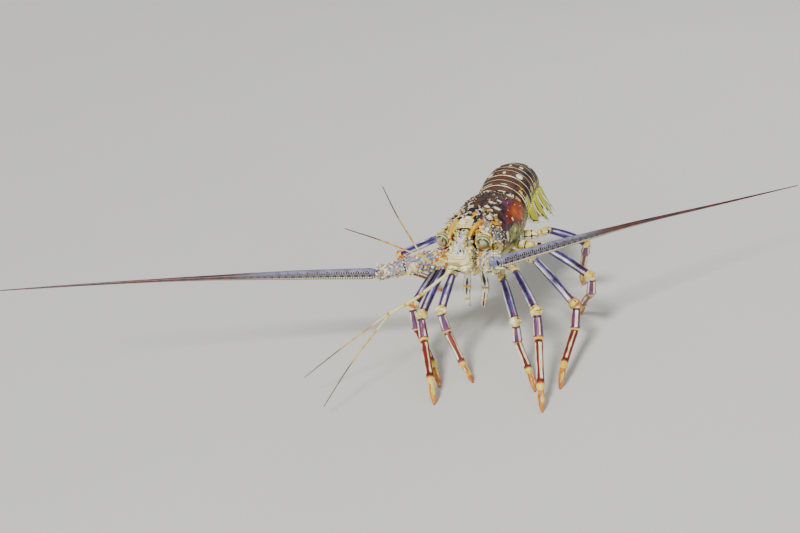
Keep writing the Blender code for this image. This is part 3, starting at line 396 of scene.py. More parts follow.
def thorns(roots, headings, lengths, radii, bend=(0.0, 0.0, 0.0), rings=6, sides=8):
    """Curved cones: root + L s h + L s^2 bend, of radius r (1 - s)^0.85 with a flared foot."""
    roots = np.asarray(roots, float)
    headings = unit(np.broadcast_to(np.asarray(headings, float), roots.shape))
    lengths = np.broadcast_to(lengths, len(roots)).astype(float)
    radii = np.broadcast_to(radii, len(roots)).astype(float)
    bend = np.broadcast_to(np.asarray(bend, float), roots.shape)
    s = np.concatenate([[-0.12, 0.02], np.linspace(0.12, 1.0, rings - 2)])
    middle = (roots[:, None] + headings[:, None] * (lengths[:, None] * s)[..., None]
              + bend[:, None] * (lengths[:, None] * most(s, 0) ** 2)[..., None])
    size = np.clip(1.0 - s, 0.0, 1.05) ** 0.85 * (1.0 + 0.55 * np.exp(-most(s, 0) / 0.09))
    size = radii[:, None] * (size + 0.02)
    across = unit(np.cross(headings, ODD_WAY))
    over = np.cross(headings, across)
    ring = spokes(across[:, None], over[:, None], circle(sides))
    grid = middle[:, :, None] + size[:, :, None, None] * ring[:, None]
    along = np.broadcast_to(np.clip(s, 0, 1)[None, :, None], grid.shape[:3])
    return grid, along


def domes(centres, normals, radii, heights, rings=6, sides=10, point=1.7):
    """Low knobs: centre + r cos(p)^point ring + h sin(p) normal, p from -25 to 88 degrees."""
    centres = np.asarray(centres, float)
    normals = unit(np.broadcast_to(np.asarray(normals, float), centres.shape))
    radii = np.broadcast_to(radii, len(centres)).astype(float)[:, None, None, None]
    heights = np.broadcast_to(heights, len(centres)).astype(float)[:, None, None, None]
    rise = np.radians(np.linspace(-25.0, 88.0, rings))[None, :, None, None]
    across = unit(np.cross(normals, ODD_WAY))[:, None, None]
    over = np.cross(normals, across[:, 0, 0])[:, None, None]
    ring = spokes(across, over, circle(sides)[None])
    grid = (centres[:, None, None] + radii * np.cos(rise) ** point * ring
            + heights * np.sin(rise) * normals[:, None, None])
    return grid, np.broadcast_to(np.clip(np.sin(rise[..., 0]), 0, 1), grid.shape[:3])


def paints(draw, count, shares):
    """Random paint for each of many knobs: a mask of ones and zeros for every paint's share."""
    pick = draw.uniform(0.0, 1.0, count)
    masks = {}
    low = 0.0
    for paint, share in shares:
        masks[paint] = ((pick >= low) & (pick < low + share)).astype(float)[:, None, None]
        low += share
    return masks


class Shell:
    """Gathers closed grid surfaces, with masks for their colours, into one mesh."""

    def __init__(self, name):
        self.name = name
        self.points = []
        self.quads = []
        self.triangles = []
        self.masks = []
        self.count = 0

    def add(self, grids, wrap=False, **masks):
        """Add (k, rows, columns, 3) points: each ring closes on itself.

        The ends close with a fan round the ring's mean, or with wrap the last ring joins the
        first. Faces are turned outward by the sign of the enclosed volume.
        """
        grids = np.asarray(grids, float)
        if grids.ndim == 3:
            grids = grids[None]
        amount, rows, columns = grids.shape[:3]
        flat = grids.reshape(amount, rows * columns, 3)
        column = np.arange(columns)
        onward = (column + 1) % columns
        bands = rows if wrap else rows - 1
        start = (np.arange(bands) * columns)[:, None]
        upper = ((np.arange(bands) + 1) % rows * columns)[:, None]
        quads = np.stack([start + column, start + onward, upper + onward, upper + column], -1)
        quads = quads.reshape(-1, 4)
        triangles = np.zeros((0, 3), int)
        if not wrap:
            ends = np.stack([grids[:, 0].mean(1), grids[:, -1].mean(1)], 1)
            flat = np.concatenate([flat, ends], 1)
            low = rows * columns
            last = (rows - 1) * columns
            triangles = np.concatenate([
                np.stack([np.full(columns, low), onward, column], -1),
                np.stack([np.full(columns, low + 1), last + column, last + onward], -1),
            ])
        corners = np.concatenate([quads[:, [0, 1, 2]], quads[:, [0, 2, 3]], triangles])
        local = flat[0] - flat[0].mean(0)
        volume = np.einsum("ij,ij->i", local[corners[:, 0]],
                           np.cross(local[corners[:, 1]], local[corners[:, 2]])).sum()
        if volume < 0.0:
            quads = quads[:, ::-1]
            triangles = triangles[:, ::-1]
        size = flat.shape[1]
        base = self.count + np.arange(amount)[:, None, None] * size
        self.quads.append((quads[None] + base).reshape(-1, 4))
        self.triangles.append((triangles[None] + base).reshape(-1, 3))
        self.points.append(flat.reshape(-1, 3))
        for mask, values in masks.items():
            values = np.broadcast_to(values, (amount, rows, columns)).astype(float)
            filled = values.reshape(amount, -1)
            if not wrap:
                tails = np.stack([values[:, 0].mean(1), values[:, -1].mean(1)], 1)
                filled = np.concatenate([filled, tails], 1)
            self.masks.append((mask, self.count, filled.ravel()))
        self.count += amount * size

    def build(self, material, nodes=()):
        """Make the mesh object, in place of the nodes, riding on the one body."""
        points = np.concatenate(self.points) + STANCE
        quads = np.concatenate(self.quads)
        triangles = np.concatenate(self.triangles)
        corners = np.concatenate([quads.ravel(), triangles.ravel()])
        sizes = np.concatenate([np.full(len(quads), 4), np.full(len(triangles), 3)])
        starts = np.concatenate([[0], np.cumsum(sizes)[:-1]])
        mesh = bpy.data.meshes.new(self.name)
        mesh.vertices.add(len(points))
        mesh.vertices.foreach_set("co", points.astype(np.float32).ravel())
        mesh.loops.add(len(corners))
        mesh.loops.foreach_set("vertex_index", corners.astype(np.int32))
        mesh.polygons.add(len(sizes))
        mesh.polygons.foreach_set("loop_start", starts.astype(np.int32))
        mesh.update(calc_edges=True)
        for mask in sorted({entry[0] for entry in self.masks}):
            values = np.zeros(self.count, np.float32)
            for name, start, part in self.masks:
                if name == mask:
                    values[start:start + len(part)] = part
            layer = mesh.attributes.new(mask, "FLOAT", "POINT")
            layer.data.foreach_set("value", values)
        mesh.shade_smooth()
        mesh.materials.append(material)
        piece = bpy.data.objects.new(self.name, mesh)
        bpy.context.scene.collection.objects.link(piece)
        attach(piece, "root")
        if nodes:
            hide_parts(*nodes)
        return piece


# Finishes


def shell_material(name, dark, light, layers, roughness=0.42, coat=0.25, grain=900.0,
                   depth=0.00035, blotch=110.0):
    """Waxy shell: two tones mixed by noise, then layers of paint where the masks are high.

    A layer is (mask, first tone, second tone, noise scale, noise share, edge width). It shows
    where mask + share * (noise - 0.5) passes 0.5. Fine grain and pits make the relief.
    """
    material = bpy.data.materials.get(name)
    if material is not None:
        return material
    material = bpy.data.materials.new(name)
    material.use_nodes = True
    nodes = material.node_tree.nodes
    links = material.node_tree.links
    shader = nodes["Principled BSDF"]
    place = nodes.new("ShaderNodeTexCoord").outputs["Object"]

    def noise(scale, detail=3.0):
        node = nodes.new("ShaderNodeTexNoise")
        node.inputs["Scale"].default_value = scale
        node.inputs["Detail"].default_value = detail
        links.new(place, node.inputs["Vector"])
        return node.outputs["Fac"]

    def step(value, low, high):
        node = nodes.new("ShaderNodeMapRange")
        node.interpolation_type = "SMOOTHSTEP"
        node.inputs["From Min"].default_value = low
        node.inputs["From Max"].default_value = high
        links.new(value, node.inputs["Value"])
        return node.outputs["Result"]

    def mix(factor, first, second):
        node = nodes.new("ShaderNodeMix")
        node.data_type = "RGBA"
        links.new(factor, node.inputs[0])
        for socket, value in ((node.inputs[6], first), (node.inputs[7], second)):
            if hasattr(value, "links"):
                links.new(value, socket)
            else:
                socket.default_value = (*value, 1.0)
        return node.outputs[2]

    def times_add(value, factor, addend):
        node = nodes.new("ShaderNodeMath")
        node.operation = "MULTIPLY_ADD"
        links.new(value, node.inputs[0])
        node.inputs[1].default_value = factor
        if hasattr(addend, "links"):
            links.new(addend, node.inputs[2])
        else:
            node.inputs[2].default_value = addend
        return node.outputs[0]

    colour = mix(step(noise(blotch, 5.0), 0.38, 0.64), dark, light)
    for mask, first, second, scale, share, edge in layers:
        layer = nodes.new("ShaderNodeAttribute")
        layer.attribute_name = mask
        speckle = noise(scale * 1.5, 7.0)
        value = times_add(speckle, share, layer.outputs["Fac"])
        factor = step(value, 0.5 + 0.5 * share - edge, 0.5 + 0.5 * share + edge)
        paint = mix(step(noise(scale * 0.45 + 30.0), 0.35, 0.65), first, second)
        colour = mix(factor, colour, paint)
    links.new(colour, shader.inputs["Base Color"])
    rough = times_add(noise(blotch * 3.0), 0.22, roughness - 0.11)
    links.new(rough, shader.inputs["Roughness"])
    shader.inputs["Coat Weight"].default_value = coat
    shader.inputs["Coat Roughness"].default_value = 0.16
    shader.inputs["Specular IOR Level"].default_value = 0.5
    pits = nodes.new("ShaderNodeTexVoronoi")
    pits.inputs["Scale"].default_value = grain * 0.55
    links.new(place, pits.inputs["Vector"])
    height = times_add(pits.outputs["Distance"], 0.6, noise(grain, 4.0))
    bump = nodes.new("ShaderNodeBump")
    bump.inputs["Strength"].default_value = 0.55
    bump.inputs["Distance"].default_value = depth
    links.new(height, bump.inputs["Height"])
    links.new(bump.outputs["Normal"], shader.inputs["Normal"])
    return material


def blend(first, second, share):
    """Mix of two colours."""
    return tuple(a + (b - a) * share for a, b in zip(first, second))


def finishes(context):
    """The shell's materials, by the piece that wears them."""
    c = context.scene.lobster_colours
    black = blend(c.dark, (0.0, 0.0, 0.0), 0.65)
    straw = blend(c.cream, c.gold, 0.5)
    grey = blend(c.slate, c.lilac, 0.4)
    peach = blend(c.cream, c.orange, 0.30)
    ashen = blend(grey, c.brown, 0.5)
    return {
        "carapace": shell_material("carapace_shell", c.dark, c.brown, (
            ("olive", c.olive, blend(c.olive, c.moss, 0.6), 60.0, 0.5, 0.22),
            ("flank", c.flank, blend(c.flank, c.dark, 0.4), 60.0, 0.4, 0.25),
            ("ember", c.ember, c.flank, 70.0, 0.5, 0.28),
            ("moss", c.moss, blend(c.moss, c.dark, 0.5), 90.0, 0.3, 0.25),
            ("black", black, c.dark, 200.0, 0.4, 0.15),
            ("purple", blend(c.purple, c.red, 0.5), c.dark, 150.0, 0.4, 0.25),
            ("lilac", blend(c.slate, c.white, 0.25), grey, 220.0, 0.5, 0.10),
            ("gold", c.orange, c.gold, 200.0, 0.4, 0.10),
            ("cream", c.cream, peach, 240.0, 0.5, 0.10),
            ("white", c.white, c.cream, 300.0, 0.5, 0.08),
            ("pit", black, c.dark, 500.0, 0.4, 0.10),
        ), roughness=0.46, coat=0.10),
        "spine": shell_material("spine_shell", c.dark, black, (
            ("gold", c.orange, c.gold, 300.0, 0.3, 0.15),
            ("white", c.white, c.cream, 300.0, 0.3, 0.12),
        ), grain=1500.0, depth=0.0002),
        "horn": shell_material("horn_shell", c.gold, blend(c.gold, c.orange, 0.3), (
            ("cream", c.cream, straw, 160.0, 0.4, 0.15),
            ("orange", c.orange, blend(c.orange, c.gold, 0.3), 200.0, 0.4, 0.15),
            ("black", c.red, black, 300.0, 0.4, 0.12),
            ("white", c.white, c.cream, 260.0, 0.4, 0.12),
        ), depth=0.0003),
        "face": shell_material("face_shell", c.cream, straw, (
            ("lilac", c.lilac, blend(c.lilac, c.white, 0.5), 300.0, 0.4, 0.14),
            ("black", black, c.brown, 300.0, 0.7, 0.14),
            ("gold", straw, c.gold, 240.0, 0.5, 0.14),
            ("peach", peach, c.cream, 240.0, 0.5, 0.14),
            ("white", c.white, c.cream, 300.0, 0.4, 0.12),
            ("pit", black, c.brown, 350.0, 0.4, 0.12),
        ), depth=0.0004),
        "eye": shell_material("eye_glass", blend(c.moss, c.olive, 0.3), c.moss, (
            ("olive", blend(c.olive, c.moss, 0.3), c.olive, 500.0, 0.3, 0.14),
            ("peach", blend(c.brown, c.cream, 0.25), blend(c.brown, c.cream, 0.55),
             500.0, 0.5, 0.16),
            ("cream", c.cream, blend(c.cream, c.olive, 0.3), 500.0, 0.3, 0.12),
            ("black", black, blend(c.moss, c.dark, 0.7), 500.0, 0.3, 0.12),
        ), roughness=0.34, coat=0.35, grain=3200.0, depth=0.00005),
        "antenna_base": shell_material("antenna_base_shell", c.lilac, grey, (
            ("dark", c.purple, c.dark, 260.0, 0.9, 0.14),
            ("slate", c.slate, blend(c.slate, c.purple, 0.35), 200.0, 0.6, 0.14),
            ("gold", c.orange, c.gold, 240.0, 0.5, 0.12),
            ("peach", peach, c.cream, 240.0, 0.5, 0.12),
            ("white", c.white, c.cream, 300.0, 0.6, 0.10),
        )),
        "whip": shell_material("whip_shell", blend(c.slate, c.brown, 0.4), ashen, (
            ("pale", blend(grey, c.brown, 0.30), blend(c.lilac, c.brown, 0.15), 300.0, 0.7, 0.25),
            ("red", blend(c.red, c.dark, 0.3), c.dark, 180.0, 0.3, 0.30),
            ("black", black, blend(c.purple, c.dark, 0.6), 600.0, 0.3, 0.14),
            ("white", blend(c.cream, c.lilac, 0.3), c.cream, 400.0, 0.4, 0.14),
        ), grain=1400.0, depth=0.00015),
        "antennule": shell_material("antennule_shell", straw, c.cream, (
            ("gold", c.orange, c.gold, 300.0, 0.4, 0.12),
            ("red", c.red, c.dark, 300.0, 0.3, 0.25),
        ), grain=1600.0, depth=0.0001),
        "mouth": shell_material("mouthpart_shell", c.cream, c.white, (
            ("dark", c.purple, c.dark, 220.0, 0.6, 0.12),
            ("gold", c.gold, c.orange, 220.0, 0.6, 0.15),
        )),
        "sternum": shell_material("sternum_shell", c.cream, straw, (
            ("dark", c.purple, c.brown, 180.0, 0.8, 0.15),
        )),
        "leg": shell_material("leg_shell", c.purple, blend(c.purple, c.blue, 0.7), (
            ("red", c.red, blend(c.red, c.dark, 0.5), 120.0, 0.6, 0.25),
            ("dark", black, c.purple, 320.0, 0.5, 0.12),
            ("gold", c.gold, straw, 220.0, 0.5, 0.14),
            ("orange", c.orange, blend(c.orange, c.red, 0.4), 260.0, 0.4, 0.20),
            ("amber", blend(c.orange, c.gold, 0.35), blend(c.orange, c.brown, 0.45),
             240.0, 0.4, 0.20),
            ("lilac", blend(c.lilac, c.white, 0.45), c.lilac, 300.0, 0.4, 0.16),
            ("white", c.white, c.cream, 320.0, 0.4, 0.12),
            ("pit", black, c.dark, 320.0, 0.5, 0.10),
        ), roughness=0.36, coat=0.35, blotch=80.0),
        "abdomen": shell_material("abdomen_shell", c.dark, c.brown, (
            ("brown", c.brown, blend(c.brown, c.dark, 0.45), 120.0, 0.5, 0.30),
            ("black", black, c.dark, 360.0, 0.4, 0.12),
            ("gold", c.gold, blend(c.gold, c.cream, 0.35), 160.0, 0.6, 0.14),
            ("lime", c.lime, blend(c.lime, c.gold, 0.4), 160.0, 0.6, 0.14),
            ("cream", blend(c.cream, c.white, 0.4), c.cream, 300.0, 0.4, 0.10),
            ("white", c.white, c.cream, 320.0, 0.3, 0.08),
            ("pit", black, c.dark, 360.0, 0.4, 0.10),
        ), roughness=0.46, coat=0.10, blotch=90.0),
        "fan": shell_material("fan_shell", c.brown, c.red, (
            ("dark", c.dark, black, 200.0, 0.4, 0.18),
            ("gold", c.gold, c.orange, 180.0, 0.5, 0.16),
            ("white", c.white, c.cream, 300.0, 0.4, 0.10),
        ), roughness=0.45),
    }


# Carapace


def groove_line(s):
    """Place of the neck groove along the shell: 0.61 + 0.12 (1 - s)^1.2, s the angle's sine."""
    return GROOVE_T + GROOVE_SWEEP * (1.0 - most(s, 0.0)) ** 1.2


def carapace_point(t, angle, grow=0.0):
    """Points of the shield: t from rear to brow, angle from the left side over the back.

    x = half |cos|^0.86, z = waist + (top - waist) sin^0.90 above and its like below, drawn in
    along the neck groove by a bell curve.
    """
    half, top, low, waist = (eased(table, t) * CARAPACE_LENGTH
                             for table in (HALF_WIDTHS, TOPS, UNDERSIDES, WAISTS))
    c = np.cos(angle)
    s = np.sin(angle)
    above = s >= 0.0
    reach = np.abs(s)
    z = np.where(above, waist + (top - waist) * reach ** 0.90,
                 waist - (waist - low) * reach ** 0.80)
    x = half * np.sign(c) * np.abs(c) ** 0.86 * np.where(above, 1.0, 1.0 - 0.12 * s * s)
    offset = (t - groove_line(s)) / GROOVE_WIDTH
    dip = GROOVE_DEPTH * np.exp(-offset * offset) * np.clip(s + 0.5, 0.0, 1.0)
    centre = 0.5 * (top + low)
    height = z - centre
    length = np.hypot(x, height)
    scale = (length - dip + grow) / length
    return vectors(x * scale, -t * CARAPACE_LENGTH, centre + height * scale)


def carapace_normal(t, angle):
    """Outward direction of the shield, from differences over a small step."""
    step = 0.01
    along = carapace_point(np.minimum(t + step, 1.0), angle)
    along = along - carapace_point(most(t - step, 0.0), angle)
    around = carapace_point(t, angle + step) - carapace_point(t, angle - step)
    return unit(np.cross(around, along))


def large_spines(sizes):
    """Roots (t, angle) and lengths of the large spines: the same rows as on the solid."""
    draw = random.Random(SPINE_SEED)
    found = []
    front = [(0.65 + 0.055 * k, 90.0, 16.0, True) for k in range(6)]
    rear = [(0.07 + 0.085 * k, 60.0, 19.0, False) for k in range(6)]
    for row, (station, reach, pitch, brow) in enumerate(front + rear):
        away = 8.5 + 0.5 * pitch * (row % 2)
        while away < reach:
            for side in (-1, 1):
                turn = math.radians(90.0 - side * (away + draw.uniform(-2.0, 2.0)))
                t = station + draw.uniform(-0.012, 0.012)
                size = draw.uniform(0.8, 1.15)
                if brow:
                    t += 0.06 * (away / 90.0) ** 2
                root = carapace_point(t, turn)
                if t > 0.965 or (abs(abs(root[0]) - HORN_ROOT[0]) < 0.008 and t > 0.82):
                    continue
                length = sizes.neck_spine * (1.0 - 0.4 * away / 90.0)
                if brow:
                    length = sizes.brow_spine * (0.6 + 1.1 * (t - GROOVE_T))
                    length *= 1.0 - 0.3 * away / 90.0
                found.append((t, turn, length * size))
            away += pitch
    return np.array(found)


def small_spines(draw):
    """Roots (t, angle) and lengths of the fine spines that fill the rows between."""
    count = 520
    t = draw.uniform(0.03, 0.97, count)
    away = draw.uniform(3.0, 96.0, count)
    side = draw.choice((-1.0, 1.0), count)
    angle = np.radians(90.0 - side * away)
    front = t - groove_line(np.sin(angle))
    length = np.where(front > 0.0, draw.uniform(0.0016, 0.0042, count),
                      draw.uniform(0.0010, 0.0022, count))
    keep = (front > 0.03) | ((front < -0.03) & (away < 46.0 - 22.0 * ramp(0.1, 0.4, t)))
    keep &= draw.uniform(0.0, 1.0, count) < np.where(front > 0.0, 0.95, 0.5)
    keep &= (np.abs(np.cos(angle)) * 0.03 > 0.0065) | (t < 0.86)
    return np.stack([t, angle, length], -1)[keep]


def spine_places(rows):
    """Roots, normals, headings, lengths and radii of spines that lean forward."""
    t, angle, length = rows.T
    root = carapace_point(t, angle)
    normal = carapace_normal(t, angle)
    lean = np.where(t < 0.8, -0.75, -0.55)
    heading = normal * 0.75
    heading[:, 1] += lean
    return root, normal, unit(heading), length, 0.21 * length + 0.0004


def ovals(t, away, spots):
    """Oval patches given as (t, degrees from the midline, half length, half width)."""
    best = 0.0
    for place, turn, length, width in spots:
        distance = np.hypot((t - place) / length, (away - turn) / width)
        best = most(best, 1.2 - 0.7 * distance)
    return best


def shield_paint(grid, t, away, s, inside):
    """Masks of the shield's colours: t runs to the brow, away is the angle from the midline."""
    wide = ripple(grid, 200.0, 21)
    fine = ripple(grid, 620.0, 22)
    ahead = t - groove_line(s)
    front = ramp(-0.012, 0.018, ahead)
    outside = 1.0 - inside
    top = eased(FLANK_TOP, t)
    low = eased(FLANK_FOOT, t)
    flank = ramp(-3.0, 5.0, away - top + 3.0 * wide) * ramp(-6.0, 12.0, low - away + 4.0 * wide)
    ember = 1.15 * hill(0.22, 0.20, t) * hill(63.0, 17.0, away)
    crown = ramp(0.0085, 0.0060, np.abs(grid[..., 0])) * ramp(0.84, 0.89, t + 0.012 * fine)
    rear = ramp(0.17, 0.02, t + 0.02 * wide) * ramp(66.0, 50.0, away)
    blobs = front * ramp(0.55, 0.95, fine + 0.35 * wide) * ramp(1.02, 0.90, t)
    white = most(blobs, rear * hill(0.15, 0.16, fine))
    spots = ovals(t, away, PALE_SPOTS)
    white = most(white, spots + 0.30 * fine * ramp(0.2, 0.6, spots))
    white = most(white, 0.95 * hill(0.026, 0.010, ahead) * ramp(52.0, 70.0, away)
                 * ramp(112.0, 96.0, away))
    gold = most(ovals(t, away, GOLD_PATCHES),
                0.62 * front * ramp(0.45, 0.8, ripple(grid, 500.0, 23)))
    cream = most(crown * 1.1, ovals(t, away, CREAM_PATCHES))
    cream = most(cream, 0.60 * ramp(0.93, 1.0, t))
    lilac = ovals(t, away, LILAC_PATCHES)
    purple = most(front * ovals(t, away, PURPLE_PATCHES) * 0.85,
                  0.9 * hill(5.0, 8.0, away - top) * ramp(0.16, 0.3, t) * (1.0 - front))
    # The thin black line along the neck groove is painted shade in the groove.
    black = most(front * ramp(0.99, 0.92, t) * ramp(104.0, 88.0, away) * 0.95,
                 0.95 * hill(0.002, 0.014, ahead) * ramp(-0.5, -0.2, s))
    black = most(black, 0.9 * rear)
    marks = hill(0.0, 0.0016, grid[..., 0]) * (hill(0.905, 0.006, t) + hill(0.945, 0.006, t)
                                               + hill(0.975, 0.005, t))
    pit = most(ovals(t, away, FLANK_PITS), 1.1 * marks)
    moss = ramp(97.0, 116.0, away + 5.0 * wide) * ramp(0.86, 0.76, t)
    olive = ramp(64.0, 80.0, away + 5.0 * wide) * ramp(0.92, 0.82, t)
    lower = hill(90.0, 17.0, away + 4.0 * wide) * (1.0 - front) * ramp(0.12, 0.25, t)
    specks = 0.85 * ramp(0.8, 1.2, fine) * lower
    grains = ripple(grid, 1300.0, 24)
    cream = most(cream, 1.1 * ramp(0.5, 1.1, grains) * lower)
    gold = most(gold, 0.9 * ramp(0.7, 1.3, -grains) * lower)
    masks = {"flank": flank, "ember": ember * flank, "olive": olive, "moss": moss, "gold": gold,
             "lilac": lilac, "purple": purple, "white": white, "pit": most(pit, specks)}
    masks = {paint: mask * outside for paint, mask in masks.items()}
    masks["black"] = most(black * outside, 0.75 * inside)
    masks["cream"] = most(cream * outside, 0.30 * inside)
    return masks


class LOBSTER_OT_carapace(bpy.types.Operator):
    """Make the shield over head and thorax and its spines"""

    bl_idname = "lobster.carapace"
    bl_label = "Carapace"

    def execute(self, context):
        sizes = context.scene.lobster_sizes
        finish = finishes(context)
        rows = np.concatenate([large_spines(sizes), small_spines(np.random.default_rng(11))])
        root, normal, heading, length, radius = spine_places(rows)

        t = np.linspace(0.0, 1.0, sizes.shell_rows)[:, None]
        angle = circle(sizes.shell_columns)
        s = np.sin(angle)
        away = np.degrees(np.arccos(np.clip(s, -1.0, 1.0)))
        points = carapace_point(t, angle)
        outward = carapace_normal(*np.broadcast_arrays(t, angle))
        ahead = t - groove_line(s)
        upper = np.clip(s + 0.4, 0.0, 1.0)
        relief = (-0.0009 * hill(0.0, 0.014, ahead) * upper
                  - 0.0007 * hill(0.060, 0.013, t) * upper
                  + 0.0007 * hill(0.020, 0.016, t) + 0.0008 * hill(0.985, 0.014, t)
                  - 0.0006 * hill(90.0, 1.5, np.degrees(angle)) * ramp(0.0, -0.05, ahead)
                  + 0.00035 * ripple(points, 320.0, 3) * ramp(-0.1, 0.1, ahead)
                  + 0.00016 * ripple(points, 900.0, 4))
        collar = np.zeros(points.shape[:2])
        for place, size in zip(root, radius):
            near = ((points - place) ** 2).sum(-1)
            collar = most(collar, 0.9 * size * np.exp(-near / (1.9 * size) ** 2))
        points = points + outward * (relief + collar)[..., None]

        centre = np.array([0.0, 0.0, 0.028])
        caps = []
        for ring, shares in ((points[0], ((0.25, -0.006), (0.90, -0.005), (0.965, -0.0015))),
                             (points[-1], ((0.985, -0.1006), (0.95, -0.1002), (0.90, -0.0985),
                                           (0.80, -0.0965), (0.55, -0.0955), (0.20, -0.095)))):
            rim = []
            for share, y in shares:
                inner = centre + (ring - centre) * share
                inner[:, 1] = y
                rim.append(inner)
            caps.append(np.array(rim))
        grid = np.concatenate([caps[0], points, caps[1]])
        t = np.concatenate([np.zeros((3, 1)), t, np.ones((6, 1))])
        inside = np.zeros((len(t), 1))
        inside[:3] = 1.0
        inside[-5:] = 1.0

        shell = Shell("carapace_shell")
        shell.add(grid, **shield_paint(grid, t, away, s, inside))
        shell.build(finish["carapace"], ("carapace",))

        spines = Shell("carapace_spines")
        bend = (0.0, -0.18, 0.10)
        big = length > 0.0045
        band = np.where(np.random.default_rng(12).uniform(size=len(length)) < 0.5, 1.0, 0.2)
        for chosen, rings, columns in ((big, 9, 12), (~big, 6, 8)):
            grid, along = thorns(root[chosen], heading[chosen], length[chosen], radius[chosen],
                                 bend, rings, columns)
            spines.add(grid, white=ramp(0.25, 0.75, along) * 1.1,
                       gold=hill(0.38, 0.18, along) * 0.8 * band[chosen, None, None])
        spines.build(finish["spine"])
        return {"FINISHED"}


class LOBSTER_OT_horns(bpy.types.Operator):
    """Make the two horns over the eyes"""

    bl_idname = "lobster.horns"
    bl_label = "Horns"

    def execute(self, context):
        finish = finishes(context)
        s = np.linspace(0.0, 1.0, 70)
        for side, label in SIDES:
            root = np.array([side * HORN_ROOT[0], HORN_ROOT[1], HORN_ROOT[2]])
            tip = np.array([side * HORN_TIP[0], HORN_TIP[1], HORN_TIP[2]])
            path = between(root, tip, s)
            path[:, 2] += HORN_ARCH * np.sin(s * np.pi)
            radii = HORN_RADIUS * np.clip(1.0 - s, 0.0, 1.0) ** 0.75 + 0.0003
            grid = sweep(path, radii, UP, 40, flat=1.12,
                         shape=lambda u, a: 1.0 + 0.05 * np.cos(3 * a) * (1 - u)
                         + 0.02 * np.sin(u * 60.0))
            grid = grid + 0.00018 * ripple(grid, 700.0, 31)[..., None]
            angle = circle(40)
            along = s[:, None]
            outer = -np.cos(angle) * side
            shell = Shell("horn_" + label)
            shell.add(grid, cream=0.80 * ramp(0.55, 0.95, -outer) * ramp(0.95, 0.6, along),
                      orange=0.98 * ramp(0.25, 0.60, outer) * ramp(0.02, 0.15, along),
                      black=0.95 * ramp(0.78, 0.94, outer) * ramp(0.10, 0.25, along),
                      white=ramp(0.90, 0.97, along))
            turns = np.linspace(0.5, 2.6, 5)
            places = path[[14, 24, 34, 20, 30]]
            across = vectors(np.cos(turns) * side, 0.0, np.sin(turns))
            size = radii[[14, 24, 34, 20, 30]]
            knobs, rise = thorns(places + across * size[:, None] * 0.9,
                                 across + np.array([0.0, -0.6, 0.0]), 0.0022, 0.0008)
            shell.add(knobs, white=rise * 1.2)
            shell.build(finish["horn"])
        return {"FINISHED"}


# Face and eyes


